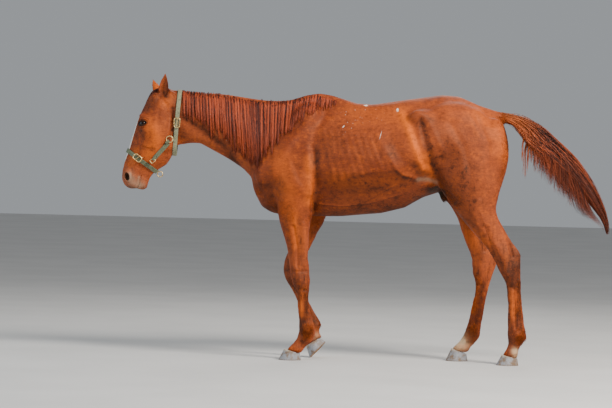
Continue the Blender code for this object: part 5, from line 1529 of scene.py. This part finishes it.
def tuftPaths(count):
    # tufts along the lie of the hair, none on the eyes or in the nostrils
    settings = tuftSettings
    roots, normals, longer = scattered(int(count * settings["spare"]))
    keep = np.ones(len(roots), bool)
    for side in (-1, 1):
        for places, clear in ((eyePlaces, settings["eyeClear"]), (nostrilPlaces, settings["nostrilClear"])):
            out, near = places(roots, side)[-2:]
            keep &= ~(near & (out < clear))
    roots, normals, longer = roots[keep][:count], normals[keep][:count], longer[keep][:count]
    small = 1 - 0.55 * (1 - ramp(roots[:, 0], -1.16, -1.08)) * (roots[:, 0] < -1.0)
    small = small * (1 - 0.35 * (1 - ramp(roots[:, 2], 0.1, 0.5)) * (longer < 1.2))
    way = lieOf(roots, normals)
    way = unit(way + np.cross(normals, way) * dice.normal(0.0, settings["stray"], (len(roots), 1)))
    length = settings["length"] * small * longer * dice.uniform(0.65, 1.25, len(roots))
    share = np.linspace(0.0, 1.0, settings["stations"])
    lift = settings["lift"] * small * longer ** 2.2
    rise = lift[:, None] * np.sin(share[None] * math.pi * 0.62) - settings["sink"]
    paths = roots[:, None] + way[:, None] * (length[:, None] * share[None])[..., None]
    paths = paths + normals[:, None] * rise[..., None]
    widths = settings["halfWidth"] * (0.5 + 0.5 * small[:, None])
    widths = widths * (0.6 + 0.4 * np.sin(share[None] * math.pi))
    return paths, widths, normals, roots


def makeTufts():
    settings = tuftSettings
    material = coatFinish("coatTufts", 0.6, settings["glow"])
    for number in range(settings["pieces"]):
        paths, widths, normals, roots = tuftPaths(settings["tufts"])
        outward = np.repeat(normals[:, None], settings["stations"], axis=1)
        piece = lockPiece(f"coat_{number + 1}", paths, widths, outward, dice.random(len(paths)),
                          markShares(roots, normals), settings["flat"], smooth=False)
        piece.data.materials.append(material)
        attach(piece, "root")


makeTufts()


# Eyes: a dark brown iris with a level pupil under a clear wet surface

ballSettings = {"segments": 48, "rings": 32, "shrink": 0.0003, "bulge": 0.0012, "iris": 0.62,
                "pupil": (0.36, 0.19), "brown": colourOf(58, 30, 14), "dark": colourOf(14, 8, 6),
                "pupilColour": colourOf(6, 6, 10), "rim": colourOf(30, 22, 20)}


def eyeFinish():
    # coloured by the gaze: each place's way forward, up and out of the eye, in shares of its radius
    settings = ballSettings
    finish = Finish("eye", Roughness=0.16, IOR=1.28, Coat_Weight=0.1, Coat_Roughness=0.03)
    gaze = finish.attribute("gaze", "Vector")
    along, above = finish.axes(gaze)[:2]
    reach = (along * along + above * above) ** 0.5
    wide, tall = settings["pupil"]
    oval = ((along * (1 / wide)) ** 2.0 + (above * (1 / tall)) ** 2.0) ** 0.5
    streaks = finish.noise(finish.turned(gaze, scale=(9.0, 9.0, 2.0)), 3.0, 4.0)
    colour = finish.mix(streaks.step(0.3, 0.7), settings["dark"], settings["brown"])
    colour = finish.mix(1 - oval.step(0.85, 1.1), colour, settings["pupilColour"])
    colour = finish.mix(reach.step(settings["iris"] * 0.9, settings["iris"] * 1.1), colour, settings["rim"])
    return finish.wear(colour)


def makeEyes():
    settings = ballSettings
    material = eyeFinish()
    for name, side in (("eye_left", -1), ("eye_right", 1)):
        centre, radius = eyeSeat(side)
        axis, forward, up = eyeAxes(side)
        deselectAll()
        bpy.ops.mesh.primitive_uv_sphere_add(segments=settings["segments"], ring_count=settings["rings"],
                                             radius=radius - settings["shrink"])
        ball = bpy.context.object
        ball.name = "ball_" + name
        points = pointsOf(ball.data)
        bulge = settings["bulge"] * ramp((points @ axis) / radius, 0.72, 0.9)
        setPoints(ball.data, points + unit(points) * bulge[:, None] + np.array(centre))
        gaze = np.stack((points @ forward, points @ up, points @ axis), axis=1) / radius
        setAttribute(ball.data, "gaze", gaze)
        bpy.ops.object.shade_smooth()
        ball.data.materials.append(material)
        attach(ball, "root")
        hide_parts(name)
    print("eyes: made")


makeEyes()


# Hooves: growth rings, a coronet band, and a hollow sole with its frog under the raised foot

hoofSettings = {
    "cuts": 4, "rings": 9, "ringHeight": 0.00035, "band": 0.0011, "bandStart": 0.86,
    "soleDepth": 0.007, "soleShape": (0.056, 0.05), "frog": 0.005, "bevel": 0.0022, "lifted": 0.98,
    "wall": colourOf(138, 140, 146), "stain": colourOf(112, 84, 58), "top": colourOf(190, 172, 146),
    "sole": colourOf(164, 112, 56), "stripe": colourOf(92, 94, 102), "roughness": 0.48,
}


def soleOf(mesh):
    # the outward normal and the middle of a hoof's sole: its largest flat face
    areas = arrayOf(mesh.polygons, "area").astype(float)
    normals, centres = (arrayOf(mesh.polygons, key, 3).astype(float) for key in ("normal", "center"))
    facing = normals @ normals.T > 0.9995
    best = (facing * areas).sum(axis=1).argmax()
    flat = facing[best]
    middle = (centres[flat] * areas[flat, None]).sum(axis=0) / areas[flat].sum()
    return normals[best], middle


def hoofFinish():
    settings = hoofSettings
    finish = Finish("hoof")
    place = finish.place()
    wall, sole = finish.attribute("wall"), finish.attribute("sole")
    broad = finish.noise(place, 38.0, 4.0, 0.6)
    fine = finish.noise(place, 210.0, 3.0)
    streaks = finish.streaks(place, (260.0, 260.0, 22.0), 3.0, 0.6)
    rings = (wall * (2 * math.pi * settings["rings"]) + 2.0 * broad).sine()
    colour = finish.mix(broad.step(0.42, 0.66), settings["wall"], settings["stain"])
    colour = finish.mix(0.55 * streaks.step(0.5, 0.75), colour, settings["stripe"])
    colour = finish.mix(0.22 * rings.step(-0.2, 0.9), colour, settings["top"])
    # the wall paler near the coronet: paler horn with a painted highlight
    colour = finish.mix(0.75 * wall.step(0.74, 0.98), colour, settings["top"])
    colour = finish.mix(0.65 * (1 - wall.step(0.02, 0.2)) * fine.step(0.35, 0.6), colour, settings["stain"])
    colour = finish.mix(sole, colour, finish.mix(broad.step(0.35, 0.7), settings["sole"], settings["stain"]))
    surface = finish.bump(rings * 0.5 + streaks, 0.0007, 0.7)
    surface = finish.bump(fine, 0.0006, 0.6, surface)
    return finish.wear(colour, settings["roughness"] + 0.25 * broad, surface)


def makeHooves():
    settings = hoofSettings
    material = hoofFinish()
    for node in hoofNodes:
        hoof = nodeCopy(node, "horn_" + node)
        down, middle = soleOf(hoof.data)
        applyModifier(hoof, "BEVEL", width=settings["bevel"], segments=2, limit_method="ANGLE",
                      angle_limit=math.radians(48))
        edited(hoof, (bpy.ops.mesh.tris_convert_to_quads, {}),
               (bpy.ops.mesh.subdivide, {"number_cuts": settings["cuts"]}))
        points, normals = pointsOf(hoof.data), normalsOf(hoof.data)
        height = (middle - points) @ down
        wall = np.clip(height / height.max(), 0.0, 1.0)
        side = ramp(1 - np.abs(normals @ down), 0.25, 0.6)
        push = settings["ringHeight"] * np.sin(wall * 2 * math.pi * settings["rings"]) * side
        push += settings["band"] * ramp(wall, settings["bandStart"], 0.96) * side
        sole = ramp(normals @ down, 0.8, 0.95) * (wall < 0.06)
        if abs(down[2]) < settings["lifted"]:
            forward = unit(np.cross(np.cross(down, np.array((-1.0, 0.0, 0.0))), down))
            along = (points - middle) @ forward
            aside = (points - middle) @ np.cross(down, forward)
            reach = np.hypot(along / settings["soleShape"][0], aside / settings["soleShape"][1])
            frog = 1 - ramp(np.abs(aside), 0.004, 0.02 - 0.16 * np.clip(along, -0.05, 0.05))
            frog *= 1 - ramp(along, 0.005, 0.025)
            push -= sole * (1 - ramp(reach, 0.62, 0.9)) * (settings["soleDepth"] - settings["frog"] * frog)
        else:
            push *= 1 - sole
        setPoints(hoof.data, points + normals * push[:, None])
        setAttribute(hoof.data, "wall", wall)
        setAttribute(hoof.data, "sole", sole)
        makeActive(hoof)
        bpy.ops.object.shade_smooth_by_angle(angle=math.radians(40))
        hoof.data.materials.append(material)
        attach(hoof, "root")
        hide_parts(node)
    print("hooves: made")


makeHooves()


# Headcollar: woven webbing straps, cast brass rings and buckles

webbingSettings = {
    "width": 0.025, "pick": 0.0017, "rib": 0.0026, "stitch": 0.0042, "seam": 0.0092,
    "selvedge": (0.0104, 0.0112),
    # shade: the dark of the weave's painted shade, of its grime and of its edges
    "olive": colourOf(88, 94, 66), "paleOlive": colourOf(166, 163, 128), "shade": colourOf(52, 56, 38),
    "thread": colourOf(150, 146, 112), "roughness": 0.82, "crease": 0.85,
    "straps": {  # point on the strap's plane and the plane's normal, seen from the side
        "halter_crown": ((-1.119, 1.37), (1.0, -0.062)),
        "halter_noseband": ((-1.316, 1.136), (0.572, 0.82)),
    },
    # how pale each strap is made, and a little smoother
    "paleness": {"halter_crown": 0.56, "halter_noseband": 0.08,
             "halter_cheek_left": 0.22, "halter_cheek_right": 0.22},
}
brassSettings = {
    "pale": colourOf(244, 214, 150), "deep": colourOf(188, 142, 74), "dull": colourOf(92, 66, 36),
    "roughness": 0.3, "swell": 0.0007, "pin": 0.0016,
    "tongues": [  # buckle, length, lean from upright seen from the side
        ("halter_crown_buckle", 0.046, -2.0), ("halter_nose_buckle", 0.04, -55.0),
    ],
}
tabSettings = {
    "length": 0.017, "width": 0.0265, "thick": 0.0088, "bevel": 0.003, "paleness": 0.2,
    "places": [  # ring or square it holds, x, z, lean from upright seen from the side
        ("halter_ring", -1.1705, 1.256, 41.4), ("halter_square", -1.2465, 1.157, 41.4),
    ],
}


def webbingFinish(name, paleness):
    # cloth by metres along the strap and across it, and how pale, and a little smoother, each strap is made
    settings = webbingSettings
    finish = Finish(name, Sheen_Weight=0.15)
    along, across = finish.axes(finish.node("ShaderNodeUVMap", {"uv_map": "weave"}))[:2]
    place = finish.place()
    rows = (across * (2 * math.pi / settings["rib"])).sine()
    picks = (along * (2 * math.pi / settings["pick"]) + rows * 1.4).sine()
    cloth = 0.5 + 0.25 * rows + 0.25 * picks
    edge = across.absolute()
    seam = 1 - (edge - settings["seam"]).absolute().step(0.00025, 0.0006)
    stitches = seam * (along * (2 * math.pi / settings["stitch"])).sine().step(-0.3, 0.1)
    grime = finish.noise(place, 42.0, 5.0, 0.65)
    fade = finish.noise(place, 13.0, 2.0)
    colour = finish.mix((paleness + 0.5 * (fade - 0.5)).step(0.0, 1.0), settings["olive"], settings["paleOlive"])
    # painted shade in the weave's low threads
    colour = finish.mix(0.45 * (1 - cloth.step(0.15, 0.6)), colour, settings["shade"])
    colour = finish.mix(0.6 * grime.step(0.5, 0.72), colour, settings["shade"])
    colour = finish.mix(0.3 * edge.step(*settings["selvedge"]), colour, settings["shade"])
    colour = finish.mix(0.7 * stitches, colour, settings["thread"])
    surface = finish.bump(cloth + 0.6 * stitches, 0.0008, 0.9)
    return finish.wear(colour, settings["roughness"] - 0.1 * paleness + 0.05 * grime, surface)


def brassFinish():
    settings = brassSettings
    finish = Finish("brass", Metallic=1.0)
    place = finish.place()
    tarnish = finish.noise(place, 120.0, 4.0, 0.6)
    scratches = finish.streaks(place, (900.0, 90.0, 900.0), 2.0, angles=(0.3, 0.5, 0.2))
    colour = finish.mix(tarnish.step(0.4, 0.68), settings["pale"], settings["deep"])
    colour = finish.mix(0.6 * tarnish.step(0.62, 0.8), colour, settings["dull"])
    return finish.wear(colour, settings["roughness"] + 0.25 * tarnish, finish.bump(scratches, 0.0002, 0.5))


def setWeave(piece, along, across):
    # lays the weave on a strap: metres along it and across it
    setMap(piece.data, "weave", np.stack((along, across), axis=1)[cornersOf(piece.data)])


def softened(piece, levels, crease):
    # rounds a piece's turns but keeps its sharp corners
    shape = bmesh.new()
    shape.from_mesh(piece.data)
    layer = shape.edges.layers.float.get("crease_edge") or shape.edges.layers.float.new("crease_edge")
    for edge in shape.edges:
        if len(edge.link_faces) == 2 and edge.calc_face_angle() > crease:
            edge[layer] = webbingSettings["crease"]
    shape.to_mesh(piece.data)
    shape.free()
    applyModifier(piece, "SUBSURF", levels=levels, render_levels=levels)


def arcTable(turn, reach):
    # metres round a loop by its turn, from the outline's own corners
    bins = np.linspace(-math.pi, math.pi, 181)
    outline = np.interp(bins, np.sort(turn), reach[np.argsort(turn)], period=2 * math.pi)
    steps = np.hypot(np.diff(outline), (outline[1:] + outline[:-1]) / 2 * np.diff(bins))
    return bins, np.concatenate(([0.0], np.cumsum(steps)))


def makeStraps():
    settings = webbingSettings
    for node, paleness in settings["paleness"].items():
        strap = nodeCopy(node, "webbing_" + node)
        softened(strap, 2, math.radians(50))
        points = pointsOf(strap.data)
        if node in settings["straps"]:
            (x, z), normal = settings["straps"][node]
            normal = unit(np.array([[normal[0], 0.0, normal[1]]]))[0]
            away = points - np.array((x, 0.0, z))
            across = away @ normal
            rise = np.cross((0.0, 1.0, 0.0), normal)
            turn, reach = np.arctan2(away @ rise, away[:, 1]), np.hypot(away @ rise, away[:, 1])
            along = np.interp(turn, *arcTable(turn, reach))
        else:
            low, high = points.min(axis=0), points.max(axis=0)
            middle = (low + high) / 2
            long = high - low - settings["width"] * 0.7
            way = unit(np.array([[long[0], 0.0, long[2]]]))[0]
            along = (points - middle) @ way
            across = (points - middle) @ np.cross(way, (0.0, 1.0, 0.0))
        setWeave(strap, along, across)
        makeActive(strap)
        bpy.ops.object.shade_smooth_by_angle(angle=math.radians(45))
        strap.data.materials.append(webbingFinish("webbing_" + node, paleness))
        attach(strap, "root")
        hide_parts(node)
    print("headcollar: straps made")


def makeBrass(material):
    for node in ("halter_ring_left", "halter_ring_right", "halter_square_left", "halter_square_right",
                 "halter_crown_buckle", "halter_nose_buckle", "halter_chin_ring"):
        piece = nodeCopy(node, "brass_" + node)
        softened(piece, 2, math.radians(100))
        setPoints(piece.data, pointsOf(piece.data) + normalsOf(piece.data) * brassSettings["swell"])
        makeActive(piece)
        bpy.ops.object.shade_smooth()
        piece.data.materials.append(material)
        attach(piece, "root")
        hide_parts(node)
    print("headcollar: brass made")


def placed(piece, lean, place):
    # leans a piece about its own middle, as seen from the side, and sets it down
    makeActive(piece)
    bpy.ops.transform.rotate(value=math.radians(lean), orient_axis="Y", center_override=(0.0, 0.0, 0.0))
    bpy.ops.transform.translate(value=place)
    bpy.ops.object.transform_apply(location=True, rotation=True, scale=True)


def makeTongues(material):
    # the pin of each buckle, over its near face
    radius = brassSettings["pin"]
    for number, (node, length, lean) in enumerate(brassSettings["tongues"]):
        low, high = (np.array(corner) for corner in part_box(node))
        deselectAll()
        bpy.ops.mesh.primitive_cylinder_add(vertices=16, radius=radius, depth=length)
        bar = bpy.context.object
        bar.name = f"brass_tongue_{number + 1}"
        placed(bar, lean, ((low[0] + high[0]) / 2, low[1] + radius, (low[2] + high[2]) / 2))
        applyModifier(bar, "BEVEL", width=radius / 2, segments=3, limit_method="ANGLE")
        bpy.ops.object.shade_smooth()
        bar.data.materials.append(material)
        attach(bar, "root")
    print("headcollar: tongues made")


def makeTabs():
    # the folds of webbing that hold the rings and the squares
    settings = tabSettings
    cloth = webbingFinish("webbing_tabs", settings["paleness"])
    for kind, x, z, lean in settings["places"]:
        for word in ("left", "right"):
            low, high = (np.array(corner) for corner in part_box(kind + "_" + word))
            deselectAll()
            bpy.ops.mesh.primitive_cube_add(size=1.0)
            tab = bpy.context.object
            tab.name = f"webbing_tab_{kind[7:]}_{word}"
            tab.dimensions = (settings["width"], settings["thick"], settings["length"])
            bpy.ops.object.transform_apply(location=False, rotation=False, scale=True)
            applyModifier(tab, "BEVEL", width=settings["bevel"], segments=4, limit_method="ANGLE")
            points = pointsOf(tab.data)
            setWeave(tab, points[:, 2], points[:, 0])
            placed(tab, lean, (x, (low[1] + high[1]) / 2, z))
            bpy.ops.object.shade_smooth_by_angle(angle=math.radians(45))
            tab.data.materials.append(cloth)
            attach(tab, "root")
    print("headcollar: tabs made")


brass = brassFinish()
makeStraps()
makeBrass(brass)
makeTongues(brass)
makeTabs()


# Camera, floor and light

cameraSettings = {"height": 1.3, "distance": 18.0, "lens": 180.0, "sensor": 36.0, "farthest": 200.0,
                  "aimX": -0.351, "aimZ": 0.911, "roll": math.radians(1.43)}
floorSettings = {"size": 60.0, "colour": (0.6, 0.585, 0.565), "darker": 0.94, "roughness": 0.9}
skySettings = {"colour": (0.9, 0.95, 1.0), "strength": 0.36}
lightSettings = [  # name, place, aim, size, power, colour
    ("key", (4.4, -4.4, 5.4), (0.0, 0.0, 1.0), 2.6, 1060.0, (1.0, 0.955, 0.89)),
    ("fill", (-6.2, -3.0, 2.6), (-0.6, 0.0, 1.0), 6.0, 270.0, (0.74, 0.88, 1.0)),
    ("back", (0.6, 4.8, 4.8), (0.0, 0.0, 1.1), 3.2, 105.0, (1.0, 0.97, 0.92)),
]


def addCamera():
    settings = cameraSettings
    place = Vector((settings["aimX"], -settings["distance"], settings["height"]))
    aim = Vector((settings["aimX"], 0.0, settings["aimZ"]))
    bpy.ops.object.camera_add(location=place)
    camera = bpy.context.object
    camera.data.lens = settings["lens"]
    camera.data.sensor_width = settings["sensor"]
    camera.data.clip_end = settings["farthest"]
    camera.rotation_mode = "QUATERNION"
    camera.rotation_quaternion = (aim - place).to_track_quat("-Z", "Y")
    camera.rotation_mode = "XYZ"
    camera.rotation_euler.rotate_axis("Z", settings["roll"])
    bpy.context.scene.camera = camera


def addFloor():
    settings = floorSettings
    deselectAll()
    bpy.ops.mesh.primitive_plane_add(size=settings["size"], location=(0.0, 0.0, 0.0))
    floor = bpy.context.object
    floor.name = "floor"
    finish = Finish("floor", Roughness=settings["roughness"])
    mottle = finish.noise(finish.place(), 1.3, 4.0)
    dark = tuple(level * settings["darker"] for level in settings["colour"])
    floor.data.materials.append(finish.wear(finish.mix(mottle.step(0.35, 0.65), settings["colour"], dark)))


def addLights():
    for name, place, aim, size, power, colour in lightSettings:
        bpy.ops.object.light_add(type="AREA", location=place)
        light = bpy.context.object
        light.name = name
        light.data.shape = "DISK"
        light.data.size = size
        light.data.energy = power
        light.data.color = colour
        light.rotation_euler = (Vector(aim) - Vector(place)).to_track_quat("-Z", "Y").to_euler()
    world = bpy.data.worlds.new("studio")
    bpy.context.scene.world = world
    world.use_nodes = True
    background = world.node_tree.nodes["Background"]
    background.inputs["Color"].default_value = (*skySettings["colour"], 1.0)
    background.inputs["Strength"].default_value = skySettings["strength"]


addCamera()
addFloor()
addLights()
